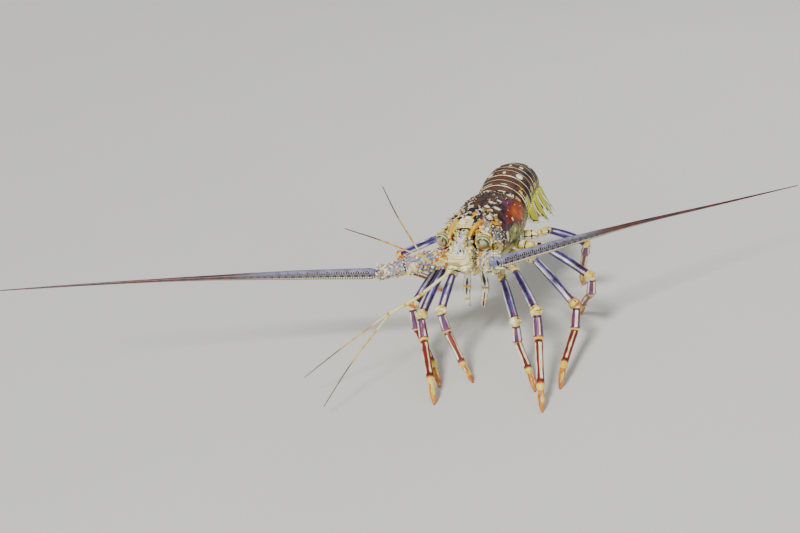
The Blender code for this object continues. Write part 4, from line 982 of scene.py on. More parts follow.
class LOBSTER_OT_face(bpy.types.Operator):
    """Make the plate between the antennae, its spines and the mouth's frame"""

    bl_idname = "lobster.face"
    bl_label = "Face"

    def execute(self, context):
        finish = finishes(context)
        stations = np.array(FACE_STATIONS)
        columns, rows, fronts = 160, 90, 43
        share = np.linspace(0.0, 1.0, rows)
        ahead = share * stations[-1, 0]
        half, top, low = (eased(stations[:, [0, k]], ahead) for k in (1, 2, 3))
        angle = circle(columns)
        c = np.cos(angle)
        s = np.sin(angle)
        middle = 0.5 * (top + low)[:, None]
        height = 0.5 * (top - low)[:, None]
        x = half[:, None] * (1.0 - 0.30 * s) * np.sign(c) * np.abs(c) ** 0.6
        z = middle + height * np.sign(s) * np.abs(s) ** 0.7
        body = vectors(x, FACE_Y - 0.0003 - ahead[:, None], z)
        closing = np.linspace(1.0, 0.06, fronts + 1)[1:, None]
        centre = np.array([0.0, 0.0, middle[-1, 0]])
        front = centre + (body[-1] - centre) * closing[..., None]
        front[..., 1] = body[-1, 0, 1] - 0.0024 * (1.0 - closing ** 2)
        grid = np.concatenate([body, front])
        x, y, z = np.moveaxis(grid, -1, 0)
        forward = np.concatenate([ahead, np.full(fronts, ahead[-1])])[:, None]
        frontal = np.repeat([0.0, 1.0], [rows, fronts])[:, None]
        roof = ramp(0.25, 0.60, s) * (1.0 - frontal)
        slope = np.array([0.0, -0.62, 0.78])
        furrow = -0.0009 * hill(0.0, 0.0009, x) * roof
        lobes = 0.0011 * hill(0.0042, 0.0026, np.abs(x)) * hill(0.0050, 0.0045, forward) * roof
        bearing = np.arctan2(x, 0.019 - forward)
        crest = np.cos(bearing * 13.0) * ramp(0.001, 0.004, np.hypot(x, 0.019 - forward))
        rays = 0.00042 * crest * roof * ramp(0.002, 0.006, forward)
        edge = np.abs(x) / most(half.max(), 1e-6)
        rim = 0.0006 * hill(0.62, 0.06, edge) * roof
        lip = z - 0.0196 - 14.0 * x * x
        folds = (-0.0014 * hill(0.0, 0.0008, lip) + 0.0010 * hill(-0.0022, 0.0011, lip)
                 + 0.0006 * hill(0.0020, 0.0010, lip) - 0.0009 * hill(-0.0042, 0.0006, lip)
                 - 0.0008 * hill(0.0072, 0.0006, lip))
        # Noise that roughens the plate's sides and places the painted shade on them
        side_relief_and_shade = ripple(grid, 480.0, 44)
        sides = (1.0 - roof) * (1.0 - frontal)
        grid = (grid + slope * (furrow + rays + lobes + rim)[..., None]
                + np.array([0.0, -1.0, 0.0]) * (folds * frontal)[..., None]
                + unit(grid - np.array([0.0, FACE_Y - 0.012, 0.022]))
                * (0.00016 * ripple(grid, 800.0, 41) + 0.0004 * side_relief_and_shade * sides)[..., None])
        plate = roof * ramp(0.76, 0.68, edge) * ramp(0.001, 0.003, forward)
        mottle = ripple(grid, 950.0, 46)
        notch = hill(0.0, 0.0012, x) * ramp(0.0058, 0.0030, forward) * ramp(0.0006, 0.0014, forward)
        shell = Shell("face_plate")
        # The black on the plate's sides, in the gap behind the eyes and antenna bases, is painted
        # shade.
        shell.add(grid, lilac=0.98 * plate,
                  white=most(0.80 * plate * ramp(0.30, 0.9, crest), 0.9 * rim / 0.0006,
                             frontal * 0.9 * hill(-0.0022, 0.0013, lip)),
                  gold=0.75 * roof * ramp(0.76, 0.84, edge),
                  peach=0.6 * frontal * ramp(0.002, 0.006, lip),
                  black=most(sides * ramp(0.15, 0.75, side_relief_and_shade) * 0.95,
                             plate * 0.85 * ramp(0.6, 1.1, mottle)),
                  pit=most(1.1 * notch * roof
                           + 0.85 * hill(0.0, 0.0006, x) * plate * ramp(-0.3, 0.4, mottle),
                           frontal * 0.72 * (hill(0.0, 0.0006, lip)
                                             + hill(-0.0042, 0.0005, lip)
                                             + 0.9 * hill(0.0072, 0.0004, lip))))

        draw = np.random.default_rng(45)
        count = 230
        station = draw.uniform(0.001, 0.0275, count)
        turn = np.radians(np.where(draw.uniform(0, 1, count) < 0.5, draw.uniform(-88, 14, count),
                                   draw.uniform(166, 268, count)))
        width, roof_z, floor_z = (eased(stations[:, [0, k]], station) for k in (1, 2, 3))
        cosine = np.cos(turn)
        sine = np.sin(turn)
        centres = np.stack([
            width * (1.0 - 0.30 * sine) * np.sign(cosine) * np.abs(cosine) ** 0.6,
            FACE_Y - station,
            0.5 * (roof_z + floor_z) + 0.5 * (roof_z - floor_z) * np.sign(sine)
            * np.abs(sine) ** 0.7], -1)
        normals = vectors(cosine, -0.35, 0.6 * sine)
        size = draw.uniform(0.0007, 0.0019, count)
        knobs, rise = domes(centres, normals, size, size * draw.uniform(0.5, 0.9, count))
        shell.add(knobs, **paints(draw, count, (("gold", 0.22), ("lilac", 0.18), ("peach", 0.2),
                                                ("white", 0.25))))
        count = 72
        gone = draw.uniform(0.002, 0.025, count)
        width = eased(stations[:, [0, 1]], gone)
        away = np.where(np.arange(count) % 2 == 0, 1.0, -1.0)
        centres = np.stack([away * (width - 0.0004), FACE_Y - gone,
                            draw.uniform(0.014, 0.042, count) - 0.3 * gone], -1)
        size = draw.uniform(0.0013, 0.0025, count)
        knobs, rise = domes(centres, vectors(away, -0.5, 0.25),
                            size, size * draw.uniform(1.1, 2.2, count), 7, 12)
        shell.add(knobs, black=0.85 * ramp(0.25, 0.05, rise),
                  **paints(draw, count, (("gold", 0.25), ("peach", 0.25), ("white", 0.35))))
        size = np.array([0.0036, 0.0027, 0.0022, 0.0020, 0.0016, 0.0016, 0.0028, 0.0028])
        centres = np.array([(0.0078, 0.0293, 0.0172), (-0.0086, 0.0293, 0.0180),
                            (0.0028, 0.0293, 0.0168), (-0.0030, 0.0293, 0.0172),
                            (0.0095, 0.0293, 0.0240), (-0.0095, 0.0293, 0.0245),
                            (0.0040, 0.0266, 0.0318), (-0.0040, 0.0266, 0.0318)])
        centres[:, 1] = FACE_Y - centres[:, 1]
        knobs, rise = domes(centres, (0.0, -1.0, 0.2), size, size * 0.45, 8, 20, 1.2)
        shell.add(knobs, white=0.9 * rise, pit=0.8 * ramp(0.10, -0.05, rise))
        x = np.linspace(-0.0068, 0.0068, 7)
        teeth = vectors(x, FACE_Y - 0.0268, 0.0322)
        spines, along = thorns(teeth, vectors(x * 30.0, -0.8, -0.35),
                               0.0034, 0.0009, rings=7, sides=10)
        shell.add(spines, white=0.9, pit=0.7 * ramp(0.2, 0.0, along))

        roots = []
        heads = []
        lengths = []
        for side in (-1, 1):
            for gone, height, length in ((0.0095, 0.0475, 0.0085), (0.0185, 0.0410, 0.0085),
                                         (0.0140, 0.0448, 0.0035), (0.0225, 0.0372, 0.0040),
                                         (0.0055, 0.0490, 0.0045)):
                roots.append((side * 0.0060, FACE_Y - gone, height))
                heads.append((side * 0.15, -0.75, 0.65))
                lengths.append(length)
            for gone, height in ((0.016, 0.030), (0.020, 0.026), (0.024, 0.022), (0.012, 0.034)):
                roots.append((side * 0.0120, FACE_Y - gone, height))
                heads.append((side * 0.75, -0.65, 0.25))
                lengths.append(0.0030)
        lengths = np.array(lengths)
        spines, along = thorns(roots, heads, lengths, 0.0006 + 0.19 * lengths,
                               (0.0, -0.1, 0.15), 8, 12)
        shell.add(spines, gold=hill(0.40, 0.25, along) * 0.8, white=ramp(0.5, 0.9, along),
                  pit=0.75 * ramp(0.16, 0.02, along))
        shell.build(finish["face"], ("antennular_plate",))

        crown = Shell("brow_crown")
        x = np.array([-0.0072, -0.0036, 0.0, 0.0036, 0.0072, -0.0052, 0.0052])
        roots = np.stack([x, np.array([-0.0985] * 5 + [-0.094] * 2),
                          np.array([0.0515, 0.0525, 0.0530, 0.0525, 0.0515, 0.0540, 0.0540])], -1)
        heads = vectors(x * 30.0, -0.55, 0.8)
        size = np.array([0.0062, 0.0035, 0.0045, 0.0035, 0.0062, 0.0050, 0.0050])
        spines, along = thorns(roots, heads, size, 0.0006 + 0.2 * size, (0.0, -0.15, 0.1), 8, 12)
        crown.add(spines, white=ramp(0.1, 0.5, along), gold=hill(0.15, 0.2, along) * 0.8)
        crown.build(finish["spine"])
        return {"FINISHED"}


class LOBSTER_OT_eyes(bpy.types.Operator):
    """Make the eyes on their short stalks, and the rims of their sockets"""

    bl_idname = "lobster.eyes"
    bl_label = "Eyes"

    def execute(self, context):
        finish = finishes(context)
        for side, label in SIDES:
            heading = unit(np.array([side * 0.12, -0.93, 0.30]))
            across, over = crosswise(heading)
            centre = np.array([side * EYE_X, FACE_Y - EYE_AHEAD, EYE_Z])
            polar = np.linspace(0.02, np.pi - 0.02, 64)[:, None]
            angle = circle(72)
            bulge = 1.0 + 0.010 * np.cos(polar * 22.0) * ramp(1.9, 1.2, polar)
            globe = centre + EYE_RADIUS * bulge[..., None] * (
                heading * np.cos(polar)[..., None]
                + spokes(across, over, angle) * np.sin(polar)[..., None])
            axis = unit(heading - 0.60 * over)
            band = np.degrees(np.arccos(np.clip(unit(globe - centre) @ axis, -1.0, 1.0)))
            shell = Shell("eye_" + label)
            gaze = unit(globe - centre)
            pupil = np.hypot(gaze @ across - 0.40 * side, 0.55 * (gaze @ over) + 0.05)
            pupil = pupil + 1.0 * (gaze @ heading < 0.0)
            facets = ripple(globe, 1500.0, 47)
            # The cream arcs and the peach centre are partly the eye's own banding and partly
            # painted reflection of light on the cornea.
            shell.add(globe, cream=0.95 * most(hill(66.0, 5.0, band), hill(93.0, 7.0, band)),
                      peach=(0.80 + 0.20 * facets) * ramp(50.0, 38.0, band),
                      olive=0.9 * hill(80.0, 6.0, band),
                      black=most(0.85 * hill(56.0, 5.0, band),
                                 0.9 * hill(86.0, 3.0, band),
                                 0.95 * ramp(0.16, 0.10, pupil)))
            root = np.array([side * (EYE_X - 0.008), FACE_Y + 0.002, EYE_Z - 0.0015])
            s = np.linspace(0.0, 1.0, 24)
            path = between(root, centre, s)
            radii = 0.0040 + 0.0012 * s + 0.0005 * np.sin(s * 18.0)
            shell.add(sweep(path, radii, UP, 40),
                      olive=0.9 * (0.5 + 0.5 * np.sin(s * 26.0))[:, None])
            shell.build(finish["eye"], ("eye_" + label,))

            turn = circle(60)[0]
            tube = circle(16)[0]
            middle = centre + heading * -0.0012
            wide = 0.0086 + 0.0003 * np.sin(turn * 3.0 + side)
            ring = spokes(across, over, turn)
            bead = 0.0012 * (1.0 + 0.12 * np.sin(turn * 14.0))[:, None, None]
            grid = (middle + ring[:, None] * wide[:, None, None]
                    + bead * spokes(ring[:, None], heading, tube))
            socket = Shell("eye_socket_" + label)
            socket.add(grid, wrap=True, cream=0.75,
                       orange=0.30 + 0.40 * np.sin(turn * 5.0 + side)[:, None])
            self.cheek(side, socket)
            socket.build(finish["horn"])
        return {"FINISHED"}

    def cheek(self, side, shell):
        """Knobs and small spines on the front of the shield, round the eye and the antenna."""
        draw = np.random.default_rng(48)
        count = 130
        x = draw.uniform(0.012, 0.0315, count)
        z = draw.uniform(0.006, 0.053, count)
        gap = np.hypot(x - EYE_X, z - EYE_Z)
        keep = (gap > 0.0085) & (np.hypot(x, (z - 0.03) * 0.9) < 0.032)
        x, z = x[keep], z[keep]
        size = draw.uniform(0.0008, 0.0021, len(x))
        centres = vectors(side * x, FACE_Y + 0.0035, z)
        normals = vectors(side * (x - 0.018) * 20.0, -1.0, (z - 0.03) * 15.0)
        knobs, rise = domes(centres, normals, size * 1.15, size * 1.6 + 0.0016, 7, 12)
        masks = paints(draw, len(x), (("cream", 0.35), ("orange", 0.07), ("white", 0.2)))
        shell.add(knobs, black=0.8 * ramp(0.35, 0.1, rise), **masks)
        count = 46
        z = draw.uniform(0.007, 0.050, count)
        x = draw.uniform(0.0115, np.where(np.abs(z - EYE_Z) < 0.009, 0.0150, 0.0175), count)
        tall = draw.uniform(0.0060, 0.0130, count)
        z[:9] = np.linspace(0.026, 0.050, 9)
        x[:9] = 0.0146
        tall[:9] = 0.0145
        stubs = vectors(side * x, FACE_Y + 0.003, z)
        wide = draw.uniform(0.0015, 0.0026, count)
        knobs, rise = domes(stubs, (side * 0.15, -1.0, 0.12), wide, tall, 7, 12)
        shell.add(knobs, black=0.9 * ramp(0.30, 0.05, rise),
                  **paints(draw, count, (("cream", 0.45), ("orange", 0.08), ("white", 0.30))))
        keep = draw.uniform(0.0, 1.0, len(centres)) < 0.35
        spines, rise = thorns(centres[keep] + np.array([0.0, -0.001, 0.0]),
                              normals[keep] * 0.6 + np.array([0.0, -0.5, 0.2]),
                              draw.uniform(0.0030, 0.0050, keep.sum()), 0.0010)
        shell.add(spines, white=ramp(0.4, 0.8, rise), orange=hill(0.3, 0.25, rise) * 0.9)


# Antennae


def peduncle_path(side):
    """Joint centres of an antenna's stout segments, from the face to the whip."""
    root = np.array([side * ANTENNA_X, FACE_Y, ANTENNA_Z])
    first = root + np.array([side * 0.002, -0.010, 0.0])
    end = np.array(PEDUNCLE_ENDS[side])
    runs = np.cumsum(PEDUNCLE_LENGTHS) / sum(PEDUNCLE_LENGTHS)
    return np.concatenate([[root, first], between(first, end, runs)])


def peduncle_spines(joints, sizes, onward, side, reach):
    """The same whorls of spines as on the solid, leaning toward the tip."""
    draw = random.Random(SPINE_SEED + side)
    found = []
    for index in range(1, len(joints) - 1):
        start = joints[index]
        stop = joints[index + 1]
        along = unit(stop - start)
        level, over = crosswise(along)
        near, far = sizes[index]
        for whorl, share in enumerate((0.34, 0.80)):
            for k in range(5):
                turn = 2.0 * math.pi * (k + 0.5 * whorl + 0.2 * index) / 5
                away = spokes(level, over, np.float64(turn))
                if index == len(joints) - 2 and share > 0.5 and away @ onward > 0.25:
                    continue
                if index == 1 and abs(away[0]) > 0.3 and away[0] * start[0] < 0.0:
                    continue
                size = near + (far - near) * share
                root = between(start, stop, share) + away * size * 0.93
                length = reach * (0.75 + 0.4 * share) * draw.uniform(0.8, 1.15)
                found.append((*root, *(away * 0.85 + along * 0.65), length))
    return np.array(found)


class LOBSTER_OT_antennae(bpy.types.Operator):
    """Make the antennae: stout spiny bases and long ringed whips"""

    bl_idname = "lobster.antennae"
    bl_label = "Antennae"

    def execute(self, context):
        sizes = context.scene.lobster_sizes
        finish = finishes(context)
        for side, label in SIDES:
            self.base(side, label, sizes, finish)
            self.whip(side, label, sizes, finish)
        return {"FINISHED"}

    def base(self, side, label, sizes, finish):
        """Four stout segments with flared ends, low ridges and whorls of spines."""
        joints = peduncle_path(side)
        r0, r1, r2, r3 = PEDUNCLE_RADII
        spans = ((r0 * 0.92, r0), (r0, r1 * 1.05), (r1 * 0.95, r2 * 1.08), (r2 * 0.92, r3))
        onward = unit(np.diff(smooth_route(FLAGELLUM_ROUTES[side], [0.0, 0.04]), axis=0))[0]
        shell = Shell("antenna_base_" + label)
        draw = np.random.default_rng(50 + side)
        for index, (near, far) in enumerate(spans):
            start = joints[index]
            stop = joints[index + 1]
            ahead = unit(stop - start)
            s = np.linspace(-0.03, 1.02, 70)
            path = between(start, stop, s)
            radii = (near + (far - near) * np.clip(s, 0, 1)) * eased(BASE_PROFILE, s)
            grid = sweep(path, radii, UP, 72,
                         shape=lambda u, a: 1.0 + 0.030 * np.cos(a * 5.0 + 0.4)
                         + 0.012 * np.sin(a * 13.0))
            grid = grid + (grid - path[:, None]) * (0.020 * ripple(grid, 650.0, 52))[..., None]
            turn = circle(72)
            along = s[:, None]
            blot = ripple(grid, 420.0, 53)
            shell.add(grid, white=most(0.72 * hill(0.965, 0.03, along) * ramp(-0.6, 0.4, blot),
                                       0.66 * ramp(0.6, 1.1, blot)),
                      dark=most(0.72 * ramp(0.3, 1.0, np.cos(turn * 5.0 + 0.4)),
                                0.8 * hill(0.02, 0.05, along)),
                      slate=ramp(0.1, 0.7, ripple(grid, 260.0, 54)),
                      gold=0.72 * hill(0.88, 0.04, along) * ramp(0.0, 0.6, -blot),
                      peach=0.7 * ramp(0.7, 1.0, ripple(grid, 300.0, 55)))
            count = (24, 38, 44, 60)[index]
            row = draw.integers(9, 65, count)
            roots = grid[row, draw.integers(0, 72, count)]
            away = unit(roots - path[row])
            clear = ~((index == 3) & (row > 41) & (away @ onward > 0.1))
            spines, rise = thorns(roots[clear], away[clear] * 0.8 + ahead * 0.75,
                                  draw.uniform(0.0014, 0.0030, clear.sum()), 0.0008)
            shell.add(spines, white=ramp(0.3, 0.8, rise), gold=hill(0.4, 0.25, rise) * 0.8)
            count = (44, 70, 80, 120)[index]
            row = draw.integers(5, 69, count)
            roots = grid[row, draw.integers(0, 72, count)]
            away = unit(roots - path[row])
            wide = draw.uniform(0.0006, 0.0017, count)
            knobs, rise = domes(roots, away, wide, wide * 1.2)
            shell.add(knobs, dark=0.8 * ramp(0.2, 0.0, rise),
                      **paints(draw, count, (("gold", 0.25), ("white", 0.35), ("peach", 0.2))))
        polar = np.linspace(0.04, np.pi - 0.04, 48)[:, None]
        angle = circle(60)
        rays = vectors(np.sin(polar) * np.cos(angle), -np.cos(polar),
                       np.sin(polar) * np.sin(angle))
        elbow = joints[1] + rays * (r0 * (0.97 + 0.03 * ripple(rays * 0.011, 500.0, 56)))[..., None]
        blot = ripple(elbow, 420.0, 53)
        shell.add(elbow, white=0.70 * ramp(0.3, 1.0, blot), dark=0.75 * ramp(0.3, 0.9, -blot),
                  peach=0.7 * ramp(0.3, 0.9, ripple(elbow, 300.0, 57)))
        count = 90
        away = unit(draw.normal(size=(count, 3)) + np.array([0.0, -0.9, 0.3]))
        wide = draw.uniform(0.0007, 0.0017, count)
        knobs, rise = domes(joints[1] + away * r0 * 0.97, away, wide, wide * 1.4)
        shell.add(knobs, dark=0.8 * ramp(0.2, 0.0, rise),
                  **paints(draw, count, (("gold", 0.25), ("white", 0.35), ("peach", 0.3))))
        away = away[:22]
        spines, rise = thorns(joints[1] + away * r0 * 0.95, away, np.linspace(0.003, 0.0055, 22),
                              0.0013, rings=8, sides=10)
        shell.add(spines, white=ramp(0.45, 0.8, rise) * 1.1, gold=0.95 * ramp(0.85, 0.5, rise))
        heads = np.array([(0.15, -0.55, 0.80), (-0.35, -0.75, 0.55), (0.60, -0.55, 0.60),
                          (-0.55, -0.35, 0.75), (0.10, -0.90, 0.25)]) * np.array([side, 1.0, 1.0])
        spines, rise = thorns(joints[1] + unit(heads) * r0 * 0.92, heads, 0.0085, 0.0020,
                              rings=9, sides=12)
        shell.add(spines, white=ramp(0.5, 0.85, rise) * 1.1, gold=0.95 * ramp(0.9, 0.6, rise))
        rows = peduncle_spines(joints, spans, onward, side, sizes.antenna_spine)
        spines, rise = thorns(rows[:, :3], rows[:, 3:6], rows[:, 6], 0.26 * rows[:, 6] + 0.0003,
                              rings=9, sides=12)
        shell.add(spines, white=ramp(0.45, 0.85, rise) * 1.1, gold=hill(0.35, 0.25, rise) * 0.9)
        shell.build(finish["antenna_base"], ("antenna_base_" + label,))

    def whip(self, side, label, sizes, finish):
        """Tube along a smooth route, r (1 + 0.07 |sin|) once a ring, with two rows of points."""
        coarse = smooth_route(FLAGELLUM_ROUTES[side], np.linspace(0.0, 1.0, 600))
        run = np.concatenate([[0.0], np.cumsum(np.linalg.norm(np.diff(coarse, axis=0), axis=1))])
        rings = int(run[-1] / sizes.annulus)
        place = np.linspace(0.0, run[-1], rings * 6 + 1)
        share = np.interp(place, run, np.linspace(0.0, 1.0, 600))
        path = smooth_route(FLAGELLUM_ROUTES[side], share)
        radii = eased(FLAGELLUM_RADII, share)
        radii = radii * (0.45 + 0.55 * np.sqrt(np.clip(place / 0.007, 0.0, 1.0)))
        teeth = np.abs(np.sin(np.pi * place / sizes.annulus))
        grid = sweep(path, radii * (0.97 + 0.07 * teeth), UP, 18,
                     shape=lambda u, a: 1.0 + 0.06 * np.exp(-((np.sin(a) - 1.0) / 0.12) ** 2))
        turn = circle(18)
        fade = ramp(0.20, 0.52, share)[:, None]
        spots = np.zeros_like(place[:, None] * turn)
        for degrees, gap, size in ((0.0, 0.0078, 0.0016), (180.0, 0.0078, 0.0016),
                                   (40.0, 0.0110, 0.0013), (140.0, 0.0110, 0.0013)):
            along = (place[:, None] + 0.5 * gap) % gap - 0.5 * gap
            round_it = np.angle(np.exp(1j * (turn - math.radians(degrees)))) * radii[:, None]
            spots = most(spots, 1.3 * ramp(1.25, 0.75, np.hypot(along, round_it) / size))
        shell = Shell("antenna_whip_" + label)
        shell.add(grid, red=fade,
                  pale=0.8 * ramp(0.0, 0.8, np.sin(turn)) * (1.0 - fade),
                  white=0.9 * ramp(-0.62, -0.85, np.sin(turn)) * (1.0 - 0.8 * fade),
                  black=most(0.80 * hill(-0.38, 0.26, np.sin(turn)) * (1.0 - 0.3 * fade),
                             0.95 * spots * (1.0 - fade),
                             0.75 * hill(0.0, 0.22, teeth)[:, None]))
        tangent = unit(np.gradient(path, axis=0))
        level, over = crosswise(tangent)
        for degrees, start in ((35.0, 18), (145.0, 22), (-25.0, 16), (-155.0, 20)):
            index = np.arange(start, int(len(path) * 0.66), 6)
            away = spokes(level[index], over[index], np.radians(degrees))
            size = radii[index]
            spines, rise = thorns(path[index] + away * size[:, None] * 0.95,
                                  away * 0.8 + tangent[index] * 0.65,
                                  sizes.spinule * (0.25 + 0.85 * size / 0.0062), 0.16 * size,
                                  rings=4, sides=6)
            shell.add(spines, red=0.4 + 0.6 * ramp(0.2, 0.5, share[index])[:, None, None],
                      black=0.9 * ramp(0.3, 0.1, rise), white=ramp(0.3, 0.7, rise) * 0.95)
        for degrees in (-18.0, 198.0):
            index = np.arange(3, int(len(path) * 0.72), 6)
            away = spokes(level[index], over[index], np.radians(degrees))
            size = radii[index]
            beads, rise = domes(path[index] + away * size[:, None], away, 0.20 * size, 0.18 * size,
                                4, 6, 1.0)
            shell.add(beads, white=0.95 * (1.0 - 0.5 * ramp(0.3, 0.6, share[index]))[:, None, None])
        shell.build(finish["whip"],
                    ("antenna_" + label + "_near", "antenna_" + label + "_whip"))


class LOBSTER_OT_antennules(bpy.types.Operator):
    """Make the slender antennules, each with two fine whips"""

    bl_idname = "lobster.antennules"
    bl_label = "Antennules"

    def execute(self, context):
        finish = finishes(context)
        guide = (0.3, 0.2, 0.9)
        for side, label in SIDES:
            joints, tips = (np.array(part) for part in ANTENNULES[side])
            shell = Shell("antennule_" + label)
            for start, stop in zip(joints, joints[1:]):
                s = np.linspace(-0.02, 1.0, 60)
                path = between(start, stop, s)
                grid = sweep(path, ANTENNULE_RADIUS * eased(ANTENNULE_PROFILE, s), guide, 24)
                shell.add(grid, gold=most(ramp(0.84, 0.95, s), ramp(0.08, 0.0, s))[:, None],
                          red=0.45 * ramp(0.93, 0.99, s)[:, None])
            end = between(joints[-2], joints[-1], 0.94)
            ahead = unit(joints[-1] - joints[-2])
            heads = unit(tips - end)
            spread = heads[0] - heads[1]
            across = unit(spread - ahead * (spread @ ahead))
            for index, tip in enumerate(tips):
                start = end + across * (0.0011 * (1.0 - 2.0 * index))
                s = np.linspace(0.0, 1.0, 420)
                path = smooth_route((start, 0.5 * (start + tip) + ahead * 0.006, tip), s)
                radii = (0.0009 - 0.0005 * s) * (0.94 + 0.10 * np.abs(np.sin(s * 230.0)))
                shell.add(sweep(path, radii, guide, 12),
                          red=(0.95 * ramp(0.30, 0.70, s))[:, None],
                          gold=(0.85 * ramp(0.05, 0.25, s))[:, None])
            shell.build(finish["antennule"],
                        ("antennule_" + label, "antennule_" + label + "_whip_1",
                         "antennule_" + label + "_whip_2"))
        return {"FINISHED"}


# Underside


class LOBSTER_OT_mouthparts(bpy.types.Operator):
    """Make the third maxillipeds with their fringes of hair"""

    bl_idname = "lobster.mouthparts"
    bl_label = "Mouthparts"

    def execute(self, context):
        sizes = context.scene.lobster_sizes
        finish = finishes(context)
        knots = np.array(MAXILLIPED_ROUTE)
        for side, label in SIDES:
            mirror = np.array([side, 1.0, 1.0])
            s = np.linspace(0.0, 1.0, 150)
            path = smooth_route(knots * mirror, s)
            joint = np.minimum(np.abs(s - 0.42), np.abs(s - 0.72))
            radii = np.interp(s, np.linspace(0.0, 1.0, 6), MAXILLIPED_RADII)
            radii = radii * (1.0 + 0.16 * hill(0.0, 0.03, joint) - 0.18 * hill(0.0, 0.008, joint))
            grid = sweep(path, radii, (0.0, 1.0, 0.0), 40,
                         shape=lambda u, a: 1.0 + 0.06 * np.cos(a * 3.0))
            turn = circle(40)
            shell = Shell("maxilliped_" + label)
            blot = np.cos(turn * 5.0) + 0.5 * ripple(grid, 500.0, 62)
            shell.add(grid, dark=0.95 * ramp(0.35, 0.75, blot) * ramp(0.05, 0.2, s)[:, None],
                      gold=0.8 * hill(0.0, 0.03, joint)[:, None])
            draw = np.random.default_rng(61)
            index = draw.integers(20, 146, 260)
            tangent = unit(np.gradient(path, axis=0))[index]
            inward = unit(np.cross(tangent, np.array([0.0, 1.0, 0.0])))
            inward *= -np.sign(inward[:, :1] * side)
            away = unit(inward + draw.normal(0.0, 0.35, (260, 3)))
            hairs, rise = thorns(path[index] + away * radii[index, None] * 0.9,
                                 away + tangent * 0.5, sizes.bristle * 0.8, 0.00016,
                                 rings=3, sides=3)
            shell.add(hairs, gold=0.8)
            shell.build(finish["mouth"], ("maxilliped_" + label,))
        return {"FINISHED"}


class LOBSTER_OT_sternum(bpy.types.Operator):
    """Make the plate under the thorax"""

    bl_idname = "lobster.sternum"
    bl_label = "Sternum"

    def execute(self, context):
        finish = finishes(context)
        table = np.array(STERNUM_STATIONS)[::-1]
        y = np.linspace(table[0, 0], table[-1, 0], 120)
        half = eased(table, y)
        angle = circle(120)
        x = half[:, None] * np.cos(angle)
        z = 0.004 + 0.009 * np.sin(angle)
        seams = np.zeros_like(y)
        for _, place, _ in LEG_ROOTS:
            seams = most(seams, hill(place + 0.0075, 0.0011, y))
        below = np.clip(-np.sin(angle), 0.0, 1.0)
        middle = hill(0.0, 0.0012, x)
        z = z + 0.0011 * below * most(seams[:, None], middle)
        grid = vectors(x, y[:, None], z)
        shell = Shell("sternum_plate")
        shell.add(grid, dark=0.7 * most(seams[:, None] * below, middle * below)
                  + 0.30 * ramp(0.55, 0.9, np.abs(x) / 0.03))
        shell.build(finish["sternum"], ("sternum",))
        return {"FINISHED"}


# Legs


def leg_joints(side, number):
    """Joint centres of a leg; the propodus takes the slope that puts the claw on the floor."""
    plan, ischium, merus, lower, carpus, dactyl = LEG_POSES[side][number]
    lengths = LEG_LENGTHS[number]
    x, y, z = LEG_ROOTS[number]
    joints = [np.array([side * x, y, z])]
    joints.append(joints[-1] + direction(plan, ischium, side) * lengths[0])
    joints.append(joints[-1] + direction(plan, merus, side) * lengths[1])
    joints.append(joints[-1] + direction(lower, carpus, side) * lengths[2])
    drop = joints[-1][2] + lengths[4] * math.sin(math.radians(dactyl)) + BODY_HEIGHT
    slope = -math.degrees(math.asin(drop / lengths[3]))
    joints.append(joints[-1] + direction(lower, slope, side) * lengths[3])
    joints.append(joints[-1] + direction(lower, dactyl, side) * lengths[4])
    return np.array(joints)


